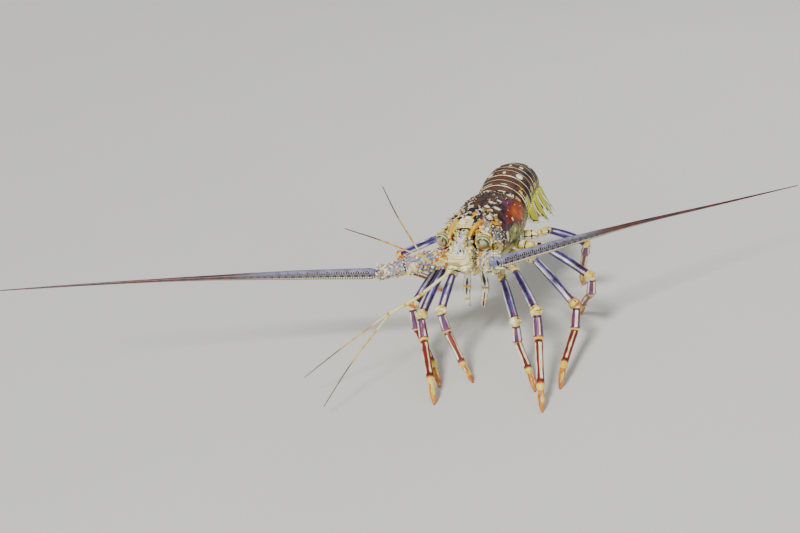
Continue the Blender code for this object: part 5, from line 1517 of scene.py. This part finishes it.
class LOBSTER_OT_legs(bpy.types.Operator):
    """Make the ten walking legs, three pieces each"""

    bl_idname = "lobster.legs"
    bl_label = "Legs"

    def execute(self, context):
        sizes = context.scene.lobster_sizes
        finish = finishes(context)
        for side, label in SIDES:
            for number in range(5):
                self.leg(side, label + str(number + 1), number, sizes, finish)
        return {"FINISHED"}

    def limb(self, start, stop, table, radius, rows=60, sides=36, flat=0.94, bow=0.0):
        """A segment: radius times the table's profile, with low ridges and a slight bow."""
        low, high = table[0][0], table[-1][0]
        s = np.linspace(low, high, rows)
        lift = crosswise(unit(stop - start))[1]
        path = between(start, stop, s)
        path = path + lift * (bow * np.sin(np.pi * np.clip(s, 0, 1)))[:, None]
        grid = sweep(path, radius * eased(table, s), UP, sides, flat,
                     shape=lambda u, a: 1.0 + 0.030 * np.cos(a * 5.0 - np.pi * 0.5))
        turn = circle(sides)
        return grid, s[:, None], turn

    def stripes(self, grid, turn, seed):
        """Four waves round a segment, plain and with an uneven edge of long streaks. The pale
        stripes they place are the legs' own stripes, drawn broad and soft as painted highlight.
        """
        wave = np.cos(turn * 4.0 - np.pi * 0.5)
        return wave, wave + 0.25 * ripple(grid * np.array([1.0, 1.0, 0.35]), 420.0, seed)

    def leg(self, side, label, number, sizes, finish):
        """Upper piece to the knee, lower piece to the claw, and the claw with its bristles."""
        joints = leg_joints(side, number)
        inward = np.array([-side * 0.010, 0.0, 0.002])
        draw = np.random.default_rng(70 + number + 10 * side)
        split = between(joints[0], joints[1], 0.44)

        upper = Shell("leg_" + label + "_thigh")
        grid, s, turn = self.limb(joints[0] + inward, split, COXA, COXA_RADIUS)
        blot = ripple(grid, 500.0, 75)
        seam = ramp(0.80, 0.97, np.cos(turn * 3.0 + 0.7 * blot)) * ramp(0.05, 0.2, s)
        upper.add(grid, white=0.9 * ramp(0.5, -0.2, blot), gold=0.95,
                  pit=most(0.85 * most(hill(0.62, 0.05, s), hill(0.20, 0.03, s)),
                           0.85 * most(seam, ramp(0.7, 1.2, -blot))))
        grid, s, turn = self.limb(split, joints[1], ISCHIUM, ISCHIUM_RADIUS)
        blot = ripple(grid, 500.0, 76)
        stripes = ramp(0.2, 0.8, np.cos(turn * 5.0 - np.pi * 0.5))
        upper.add(grid, white=0.95 * most(ramp(0.70, 0.35, s), stripes) * ramp(0.6, 0.0, blot),
                  gold=most(0.95 * ramp(0.84, 0.90, s), 0.9 * ramp(-0.2, 0.5, blot)),
                  pit=most(0.8 * hill(0.30, 0.05, s) * ramp(-0.2, 0.5, blot),
                           0.85 * most(ramp(0.7, 1.1, -blot), 0.9 * hill(0.80, 0.02, s))))
        for start, stop, radius in ((joints[0] + inward, split, COXA_RADIUS * 0.98),
                                    (split, joints[1], ISCHIUM_RADIUS)):
            knobs, rise = self.knobs(draw, start, stop, radius, 30)
            upper.add(knobs, pit=0.7 * ramp(0.2, 0.0, rise),
                      **paints(draw, 30, (("gold", 0.5), ("white", 0.5))))
        grid, s, turn = self.limb(joints[1], joints[2], MERUS, MERUS_RADIUS, 130, 44,
                                  bow=0.0012)
        # The merus's white and lilac streaks are partly its own stripes and partly painted
        # highlight.
        wave, streaked = self.stripes(grid, turn, 77)
        knee = ramp(0.875, 0.905, s)
        shaft = (1.0 - knee) * ramp(0.02, 0.10, s)
        lobes = ripple(grid, 520.0, 74)
        upper.add(grid, lilac=0.90 * ramp(0.0, 1.0, streaked) * shaft,
                  white=most(0.80 * ramp(0.75, 1.15, streaked) * shaft,
                             0.8 * knee * ramp(0.2, 0.8, lobes)),
                  gold=most(0.95 * knee, 0.7 * ramp(0.07, 0.0, s)),
                  orange=0.85 * knee * ramp(0.2, 0.8, -lobes),
                  dark=0.85 * ramp(-0.4, -0.95, wave) * shaft, red=0.55 * ramp(0.45, 0.85, s),
                  pit=most(0.8 * hill(0.868, 0.010, s),
                           0.85 * knee * hill(0.0, 0.10, lobes)))
        knobs, rise = self.knobs(draw, between(joints[1], joints[2], 0.90), joints[2],
                                 KNEE_RADIUS * 0.98, 22)
        upper.add(knobs, gold=0.95, white=paints(draw, 22, (("white", 0.4),))["white"],
                  orange=paints(draw, 22, (("orange", 0.3),))["orange"])
        thigh = unit(joints[2] - joints[1])
        across, over = crosswise(thigh)
        turns = np.radians(np.array([35.0, 90.0, 145.0, 215.0, 325.0]))
        away = spokes(across, over, turns)
        for middle, size, length in ((between(joints[1], joints[2], 0.955),
                                      KNEE_RADIUS * 0.92, 0.0030),
                                     (between(joints[0], joints[1], 0.92), ISCHIUM_RADIUS, 0.0022),
                                     (split, COXA_RADIUS * 0.95, 0.0024)):
            points, rise = thorns(middle + away * size, away * 0.75 + thigh, length, 0.4 * length)
            upper.add(points, gold=0.9, white=ramp(0.4, 0.9, rise))
        upper.build(finish["leg"], ("leg_" + label + "_upper",))

        lower = Shell("leg_" + label + "_shin")
        grid, s, turn = self.limb(joints[2], joints[3], CARPUS, KNEE_RADIUS * 0.82, 70, 40)
        # The carpus's white streaks are partly its own stripes and partly painted highlight.
        streaked = self.stripes(grid, turn, 78)[1]
        shaft = ramp(0.10, 0.2, s) * ramp(0.90, 0.82, s)
        lower.add(grid, white=0.86 * ramp(0.25, 0.75, streaked) * shaft,
                  gold=most(0.9 * ramp(0.12, 0.02, s), 0.9 * ramp(0.87, 0.92, s)),
                  orange=most(0.9 * hill(0.90, 0.02, s),
                              0.85 * ramp(0.0, 0.5, streaked) * shaft),
                  red=0.50, pit=0.75 * hill(0.14, 0.03, s))
        grid, s, turn = self.limb(joints[3], joints[4], PROPODUS, PROPODUS_RADIUS, 110, 40,
                                  bow=0.0008)
        # The propodus's white streaks are partly its own stripes and partly painted highlight.
        streaked = self.stripes(grid, turn, 79)[1]
        shaft = ramp(0.05, 0.12, s) * ramp(0.88, 0.78, s)
        # The two front legs on the left, nearest the camera, get more white here: painted light.
        pale = 0.60 if side > 0 and number < 2 else 0.10
        lower.add(grid, white=0.84 * ramp(0.45, 0.90, streaked + pale) * shaft,
                  gold=most(0.9 * ramp(0.06, 0.0, s), 0.95 * ramp(0.86, 0.92, s)),
                  orange=most(0.9 * hill(0.90, 0.02, s),
                              0.9 * ramp(-0.3, 0.3, streaked) * shaft),
                  red=0.95, pit=0.5 * hill(0.82, 0.03, s))
        self.bristles(lower, joints[3], joints[4], PROPODUS_RADIUS * 0.92, draw, 60,
                      sizes.bristle * 0.55, 0.45, 0.97)
        lower.build(finish["leg"], ("leg_" + label + "_lower",))

        claw = Shell("leg_" + label + "_claw")
        grid, s, turn = self.limb(joints[4], joints[5], DACTYL, DACTYL_RADIUS, 80, 32, 0.80,
                                  bow=0.0006)
        grid[..., 2] = most(grid[..., 2], -BODY_HEIGHT)
        streak = ramp(0.75, 0.0, np.cos(turn * 3.0) + 0.4 * ripple(grid, 420.0, 80))
        amber = most(0.95 * streak * ramp(0.02, 0.12, s), ramp(0.45, 0.75, s))
        claw.add(grid, gold=1.0, amber=amber, pit=0.8 * ramp(0.93, 0.99, s))
        self.bristles(claw, joints[4], joints[5], DACTYL_RADIUS * 0.85, draw, 170,
                      sizes.bristle * 0.7, 0.10, 0.80)
        claw.build(finish["leg"], ("leg_" + label + "_dactyl",))

    def knobs(self, draw, start, stop, radius, count):
        """Low knobs scattered round a joint."""
        ahead = unit(stop - start)
        across, over = crosswise(ahead)
        turn = draw.uniform(0.0, 2.0 * np.pi, count)
        away = spokes(across, over, turn)
        share = draw.uniform(0.05, 0.95, count)
        size = draw.uniform(0.0006, 0.0012, count)
        return domes(between(start, stop, share) + away * radius * 0.9, away, size,
                     size * 0.9)

    def bristles(self, shell, start, stop, radius, draw, count, length, low, high):
        """Stiff hairs in rows round a segment, leaning to its tip and kept off the floor."""
        share = draw.uniform(low, high, count)
        turn = draw.integers(0, 6, count) * np.pi / 3.0 + draw.normal(0.0, 0.12, count)
        ahead = unit(stop - start)
        across, over = crosswise(ahead)
        away = spokes(across, over, turn)
        size = radius * (1.0 - 0.45 * share)
        roots = between(start, stop, share) + away * size[:, None]
        size = length * draw.uniform(0.6, 1.1, count)
        heads = unit(away * 0.55 + ahead * 0.9)
        clear = roots[:, 2] + heads[:, 2] * size > -BODY_HEIGHT + 0.0005
        hairs, rise = thorns(roots[clear], heads[clear], size[clear], 0.00014, rings=3, sides=3)
        shell.add(hairs, gold=0.9, orange=0.9)


# Tail


def tail_frames():
    """Points along the tail's back line and the slopes of the planes between segments."""
    points = [np.array([0.0, 0.0003, TAIL_ROOT_Z])]
    for length, slope in zip(TAIL_LENGTHS, TAIL_SLOPES):
        points.append(points[-1] + direction(90.0 + TAIL_YAW, slope) * length)
    slopes = [0.0]
    for before, after in zip(TAIL_SLOPES, TAIL_SLOPES[1:]):
        slopes.append(0.5 * (before + after) * PLANE_LAG)
    slopes.append(TAIL_END_SLOPE)
    return points, slopes


def tail_section(columns):
    """Outline of a segment as weights of half width, flare, wall, depth and side plate.

    The first part runs over the back, then down the outside of the right side plate, up its
    inside, across the belly and the same on the left.
    """
    turn = np.linspace(0.0, np.pi, columns, endpoint=False)
    zero = np.zeros_like(turn)
    back = np.stack([np.cos(turn), zero, zero, np.sin(turn) ** 0.92 - 1.0, zero, zero], -1)
    knots = np.array([
        (-1.0, 0.0, 0.0, -1.0, 0.0, 0.0),
        (-1.0, -0.45, 0.0, -1.0, -0.45, 0.0),
        (-1.0, -1.0, 0.0, -1.0, -1.0, -0.0010),
        (-1.0, -0.45, 1.0, -1.0, -0.50, -0.0006),
        (-1.0, 0.0, 1.6, -1.0, 0.0, -0.0012),
        (-0.55, 0.0, 0.0, -1.0, 0.0, -0.0035),
        (0.0, 0.0, 0.0, -1.0, 0.0, -0.0045),
    ])
    steps = (14, 18, 14, 10, 8, 8)
    parts = [knots[k] + (knots[k + 1] - knots[k]) * np.linspace(0, 1, n, endpoint=False)[:, None]
             for k, n in enumerate(steps)]
    right = np.concatenate(parts)
    left = np.concatenate([knots[6:7], right[:0:-1]]) * np.array([-1, -1, -1, 1, 1, 1])
    return np.concatenate([back, right, left]), len(turn)


class LOBSTER_OT_abdomen(bpy.types.Operator):
    """Make the six segments of the tail with their side plates"""

    bl_idname = "lobster.abdomen"
    bl_label = "Abdomen"

    def execute(self, context):
        finish = finishes(context)
        points, slopes = tail_frames()
        weights, over = tail_section(150)
        wh, wf, ww, wd, wp, const = weights.T[:, None, :]
        greatest = max(PLEURON_DROPS)
        turn = np.degrees(np.arccos(np.clip(wh, -1.0, 1.0)))
        for index in range(6):
            u = np.linspace(0.0, 1.0, 72)[:, None]
            slope = np.radians(slopes[index] + (slopes[index + 1] - slopes[index]) * u)
            origin = points[index] + (points[index + 1] - points[index]) * u
            half = TAIL_HALF_WIDTHS[index] * (1 - u) + TAIL_HALF_WIDTHS[index + 1] * u
            depth = TAIL_DEPTHS[index] * (1 - u) + TAIL_DEPTHS[index + 1] * u
            lift = (0.0012 * np.sin(np.pi * u) - 0.0012 * (1 - u) - 0.0010 * hill(0.44, 0.030, u)
                    - 0.0005 * hill(0.60, 0.020, u) + 0.0004 * hill(0.965, 0.02, u))
            blade = np.minimum((u - PLEURON_START) / (PLEURON_TIP - PLEURON_START),
                               (PLEURON_END - u) / (PLEURON_END - PLEURON_TIP))
            blade = np.clip(blade, 0.0, 1.0) ** PLEURON_FULLNESS
            drop = most(PLEURON_DROPS[index] * blade, 0.0004)
            flare = PLEURON_FLARES[index] * blade
            half = half + lift * 0.6
            x = half * wh + flare * wf - np.sign(wh) * ww * PLEURON_WALL
            x = np.where(wh == 0.0, 0.0, x)
            z = depth * wd + drop * wp + const
            below = np.where(np.abs(x) > half * 0.9, most(0.0, -(z + depth)), 0.0)
            shift = PLEURON_SWEEP * (below / greatest) ** 2 + (0.00015 - 0.0003 * u)
            z = z + lift
            y = origin[:, 1:2] + z * -np.sin(slope) + shift * np.cos(slope)
            height = origin[:, 2:3] + z * np.cos(slope) + shift * np.sin(slope)
            grid = vectors(origin[:, 0:1] + x, y, height)
            grain = 0.00010 * ripple(grid, 900.0, 80 + index)[..., None]
            grid = grid + grain * np.array([0.3, 0, 1])

            plate = ramp(-0.0005, 0.0030, below)
            depth_share = np.clip(below / PLEURON_DROPS[index], 0.0, 1.0)
            inset = u - PLEURON_START - (PLEURON_TIP - PLEURON_START) * depth_share ** (
                1.0 / PLEURON_FULLNESS)
            back = (wd > -1.0) * 1.0
            blot = ripple(grid, 380.0, 90 + index)
            lines = most(hill(0.44, 0.028, u) * (1.20 + 0.25 * blot),
                         1.25 * ramp(0.938, 0.968, u))
            lines = most(lines, 0.9 * hill(0.61, 0.016, u) * ramp(0.3, 0.9, blot))
            spots = np.zeros_like(x)
            for segment, place, angle, size in TAIL_SPOTS:
                if segment == index:
                    gap = np.hypot((u - place) * 0.022, (turn - angle) * 0.00055)
                    gap = np.where(back > 0.0, gap, 1.0)
                    spots = most(spots, 1.3 * ramp(size * 0.30, size * 0.18, gap))
            grit = 0.5 * blot + 0.6 * ripple(grid, 1300.0, 85)
            hinge = back * ramp(0.88, 0.99, np.abs(wh)) * ramp(0.15, 0.5, u)
            if index == 0:
                hinge = most(hinge, back * hill(40.0, 8.0, 90.0 - np.abs(turn - 90.0))
                             * ramp(0.4, 0.6, u))
            shell = Shell("abdomen_segment_" + str(index + 1))
            shell.add(grid, brown=back * ramp(0.95, 0.2, np.abs(wh)) * ramp(0.0, 0.12, u) * 0.9,
                      gold=hinge * ramp(-0.2, 0.5, grit) * 0.95, lime=plate * 1.15,
                      cream=back * lines + 0.62 * (1 - back) * (1 - plate),
                      white=most(spots, plate * most(ramp(0.92, 0.97, u),
                                                     ramp(0.085, 0.060, inset))),
                      black=back * 0.9 * (hill(0.50, 0.020, u) + hill(0.90, 0.025, u)
                                          + hill(0.37, 0.020, u)),
                      pit=plate * 0.95 * hill(0.135, 0.045, inset) * ramp(0.97, 0.75, depth_share))
            shell.build(finish["abdomen"], ("abdomen_" + str(index + 1),))
        return {"FINISHED"}


class LOBSTER_OT_tail_fan(bpy.types.Operator):
    """Make the telson and the four uropods, half closed under the tail"""

    bl_idname = "lobster.tail_fan"
    bl_label = "Tail fan"

    def execute(self, context):
        finish = finishes(context)
        points, slopes = tail_frames()
        flat = direction(90.0, FAN_SLOPE)
        up = direction(90.0, FAN_SLOPE + 90.0)
        out = np.array([1.0, 0.0, 0.0])
        seat = points[-1] - direction(90.0, slopes[-1] + 90.0) * 0.0065
        pieces = (
            ("telson", 0.0, 0.0, 0.0, TELSON_LENGTH, TELSON_WIDTH, 4),
            ("uropod_left_inner", 11.0, 1.0, 0.0085, UROPOD_LENGTH, UROPOD_WIDTH, 3),
            ("uropod_right_inner", -11.0, 1.0, -0.0085, UROPOD_LENGTH, UROPOD_WIDTH, 3),
            ("uropod_left_outer", 18.0, 2.0, 0.0095, UROPOD_LENGTH, UROPOD_WIDTH, 3),
            ("uropod_right_outer", -18.0, 2.0, -0.0095, UROPOD_LENGTH, UROPOD_WIDTH, 3),
        )
        for name, spread, layer, x, length, width, ridges in pieces:
            turn = math.radians(spread)
            along = flat * math.cos(turn) + out * math.sin(turn)
            across = out * math.cos(turn) - flat * math.sin(turn)
            root = seat + out * x - flat * 0.001 - up * (layer * FAN_LAYER)
            s = np.linspace(0.0, 1.0, 110)[:, None]
            half = 0.5 * width * eased(FAN_OUTLINE, s)
            v = np.cos(circle(120))
            upside = np.sign(np.sin(circle(120)))
            thick = 0.5 * FAN_THICKNESS * np.sqrt(np.clip(1.0 - v * v, 0.0, 1.0)) * (1 - 0.55 * s)
            ribs = 0.00028 * np.cos(np.pi * ridges * 2.0 * v) * np.minimum(1.0, s * 4.0)
            soft = ramp(0.42, 0.50, s + 0.04 * np.cos(v * 2.0))
            fine = 0.00008 * np.cos(v * half / 0.00042) * soft
            edge = np.clip(1.0 - v * v, 0.0, 1.0) ** 0.3
            rise = upside * thick + (ribs + fine) * edge
            grid = (root + along * (length * s)[..., None] + across * (half * v)[..., None]
                    + up * rise[..., None])
            shell = Shell(name + "_blade")
            band = hill(0.66, 0.06, s)
            shell.add(grid, dark=most(0.85 * band, 0.6 * hill(0.40, 0.03, s)),
                      gold=0.9 * ramp(0.74, 0.86, s) + 0.35 * ramp(0.3, 0.0, s)
                      + 0.4 * ramp(0.8, 1.0, np.cos(np.pi * ridges * 2.0 * v)),
                      white=0.75 * hill(0.30, 0.02, s) + 0.85 * ramp(0.95, 0.99, s)
                      + 0.5 * ramp(0.9, 1.0, np.abs(v)))
            draw = np.random.default_rng(95)
            count = 40
            place = draw.uniform(0.05, 0.40, count)
            swing = draw.uniform(-0.85, 0.85, count)
            size = 0.5 * width * eased(FAN_OUTLINE, place)
            roots = (root + along * (length * place)[:, None] + across * (size * swing)[:, None]
                     + up * (0.5 * FAN_THICKNESS * np.sqrt(1 - swing ** 2) * 0.85)[:, None])
            spines, rising = thorns(roots, along * 1.0 + up * 0.45, 0.0013, 0.0004,
                                    rings=4, sides=6)
            shell.add(spines, white=ramp(0.4, 0.9, rising), gold=0.6)
            shell.build(finish["fan"], (name,))
        return {"FINISHED"}


class LOBSTER_OT_swimmerets(bpy.types.Operator):
    """Make the leaf-shaped swimmerets under the tail"""

    bl_idname = "lobster.swimmerets"
    bl_label = "Swimmerets"

    def execute(self, context):
        finish = finishes(context)
        points, slopes = tail_frames()
        shell = Shell("swimmerets")
        for index in range(1, 5):
            middle = 0.5 * (points[index] + points[index + 1])
            slope = 0.5 * (slopes[index] + slopes[index + 1])
            up = direction(90.0, slope + 90.0)
            flat = direction(90.0, slope)
            depth = 0.5 * (TAIL_DEPTHS[index] + TAIL_DEPTHS[index + 1]) + 0.0030
            for side in (-1, 1):
                out = np.array([side, 0.0, 0.0])
                root = middle - up * depth + out * 0.016
                along = unit(-up * 0.55 + flat * 0.62 + out * 0.22)
                across = unit(np.cross(along, np.cross(out, along)))
                normal = np.cross(along, across)
                s = np.linspace(0.0, 1.0, 40)[:, None]
                half = 0.0052 * eased(SWIMMERET_PROFILE, s)
                turn = circle(36)
                curl = 0.0016 * np.sin(np.pi * s)
                grid = (root + along * (0.019 * s)[..., None]
                        + across * (half * np.cos(turn))[..., None]
                        + normal * (0.0005 * np.sin(turn) + curl)[..., None])
                shell.add(grid, gold=0.8 * ramp(0.7, 1.0, np.abs(np.cos(turn))),
                          dark=0.7 * hill(0.35, 0.12, s))
        shell.build(finish["mouth"])
        return {"FINISHED"}


# Stage


class LOBSTER_OT_stage(bpy.types.Operator):
    """Make the floor, the soft lights and the camera"""

    bl_idname = "lobster.stage"
    bl_label = "Stage"

    def execute(self, context):
        stage = context.scene.lobster_stage
        scene = context.scene
        a, e, r = stage.azimuth, stage.elevation, stage.roll
        back = Vector((math.sin(a) * math.cos(e), -math.cos(a) * math.cos(e), math.sin(e)))
        right = Vector((math.cos(a), math.sin(a), 0.0))
        up = back.cross(right)
        x = right * math.cos(r) - up * math.sin(r)
        y = right * math.sin(r) + up * math.cos(r)
        aim = Vector(STANCE) + Vector((0.0, -0.05, 0.03))
        eye = aim + back * stage.distance
        # The body's middle lies right of and above the picture's middle, so the view turns
        # by the same offsets
        shift = [(middle - seen) / FOCAL_PIXELS for middle, seen in zip(PICTURE_MIDDLE, BODY_PIXEL)]
        view = x * shift[0] - y * shift[1] - back
        view.normalize()
        x = (x - view * x.dot(view)).normalized()
        y = x.cross(view)
        y.normalize()
        camera = bpy.data.cameras.new("camera")
        camera.lens = stage.lens * 1000.0
        camera.sensor_width = 36.0
        camera.sensor_fit = "HORIZONTAL"
        camera.clip_end = 50.0
        viewer = bpy.data.objects.new("camera", camera)
        turn = Matrix((x, y, -view)).transposed()
        viewer.matrix_world = Matrix.Translation(eye) @ turn.to_4x4()
        scene.collection.objects.link(viewer)
        scene.camera = viewer

        corners = FLOOR_CELLS + 1
        span = np.linspace(-FLOOR_REACH, FLOOR_REACH, corners)
        gx, gy = np.meshgrid(span, span)
        grid = vectors(gx, gy, 0.0).reshape(-1, 3)
        row = np.arange(FLOOR_CELLS)
        first = (row[:, None] * corners + row[None, :]).reshape(-1)
        quads = np.stack([first, first + 1, first + corners + 1, first + corners], -1)
        mesh = bpy.data.meshes.new("floor")
        mesh.from_pydata(grid.tolist(), [], quads.tolist())
        floor = bpy.data.objects.new("floor", mesh)
        scene.collection.objects.link(floor)
        material = bpy.data.materials.new("floor_paper")
        material.use_nodes = True
        nodes = material.node_tree.nodes
        links = material.node_tree.links
        shader = nodes["Principled BSDF"]
        place = nodes.new("ShaderNodeTexCoord")
        cloud = nodes.new("ShaderNodeTexNoise")
        cloud.inputs["Scale"].default_value = 3.0
        links.new(place.outputs["Object"], cloud.inputs["Vector"])
        mixer = nodes.new("ShaderNodeMix")
        mixer.data_type = "RGBA"
        links.new(cloud.outputs["Fac"], mixer.inputs[0])
        mixer.inputs[6].default_value = (*stage.floor, 1.0)
        mixer.inputs[7].default_value = (*(0.95 * v for v in stage.floor), 1.0)
        links.new(mixer.outputs[2], shader.inputs["Base Color"])
        shader.inputs["Roughness"].default_value = 0.8
        mesh.materials.append(material)

        key = bpy.data.lights.new("key", "SUN")
        key.energy = stage.key
        key.angle = math.radians(14.0)
        key.color = (1.0, 0.985, 0.95)
        sun = bpy.data.objects.new("key", key)
        sun.rotation_euler = Vector((0.05, 0.85, -1.05)).to_track_quat("-Z", "Y").to_euler()
        scene.collection.objects.link(sun)
        lights = (
            ("fill_left", (1.5, -1.0, 0.9), 1.2, stage.fill * 1.8),
            ("fill_front", (-0.2, -1.6, 0.5), 1.0, stage.fill),
            ("rim", (0.3, 1.4, 1.3), 1.0, stage.fill * 0.6),
        )
        for name, place, size, power in lights:
            lamp = bpy.data.lights.new(name, "AREA")
            lamp.energy = power
            lamp.size = size
            holder = bpy.data.objects.new(name, lamp)
            holder.location = place
            toward = Vector((0.05, 0.0, 0.1)) - Vector(place)
            holder.rotation_euler = toward.to_track_quat("-Z", "Y").to_euler()
            scene.collection.objects.link(holder)
        world = scene.world or bpy.data.worlds.new("studio")
        scene.world = world
        world.use_nodes = True
        sky = world.node_tree.nodes["Background"]
        sky.inputs["Color"].default_value = (0.86, 0.88, 0.90, 1.0)
        sky.inputs["Strength"].default_value = 0.30
        return {"FINISHED"}


class LOBSTER_PT_panel(bpy.types.Panel):
    """Lists the pieces, their sizes and colours"""

    bl_label = "Spiny lobster"
    bl_idname = "LOBSTER_PT_panel"
    bl_space_type = "VIEW_3D"
    bl_region_type = "UI"
    bl_category = "Lobster"

    def draw(self, context):
        layout = self.layout
        for group in (context.scene.lobster_sizes, context.scene.lobster_colours,
                      context.scene.lobster_stage):
            box = layout.box()
            for key in group.bl_rna.properties.keys():
                if key not in ("rna_type", "name"):
                    box.prop(group, key)
        for operator in OPERATORS:
            layout.operator(operator.bl_idname)


GROUPS = (LobsterSizes, LobsterColours, LobsterStage)
OPERATORS = (
    LOBSTER_OT_stage,
    LOBSTER_OT_carapace,
    LOBSTER_OT_horns,
    LOBSTER_OT_face,
    LOBSTER_OT_eyes,
    LOBSTER_OT_antennae,
    LOBSTER_OT_antennules,
    LOBSTER_OT_mouthparts,
    LOBSTER_OT_sternum,
    LOBSTER_OT_legs,
    LOBSTER_OT_abdomen,
    LOBSTER_OT_tail_fan,
    LOBSTER_OT_swimmerets,
)


def register():
    """Add the classes and the settings to Blender."""
    for cls in (*GROUPS, *OPERATORS, LOBSTER_PT_panel):
        bpy.utils.register_class(cls)
    bpy.types.Scene.lobster_sizes = PointerProperty(type=LobsterSizes)
    bpy.types.Scene.lobster_colours = PointerProperty(type=LobsterColours)
    bpy.types.Scene.lobster_stage = PointerProperty(type=LobsterStage)


def unregister():
    """Take the settings and the classes away again."""
    del bpy.types.Scene.lobster_stage
    del bpy.types.Scene.lobster_colours
    del bpy.types.Scene.lobster_sizes
    for cls in reversed((*GROUPS, *OPERATORS, LOBSTER_PT_panel)):
        bpy.utils.unregister_class(cls)


def main():
    """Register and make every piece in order."""
    register()
    for operator in OPERATORS:
        getattr(bpy.ops.lobster, operator.bl_idname.partition(".")[2])()


if __name__ == "__main__":
    main()
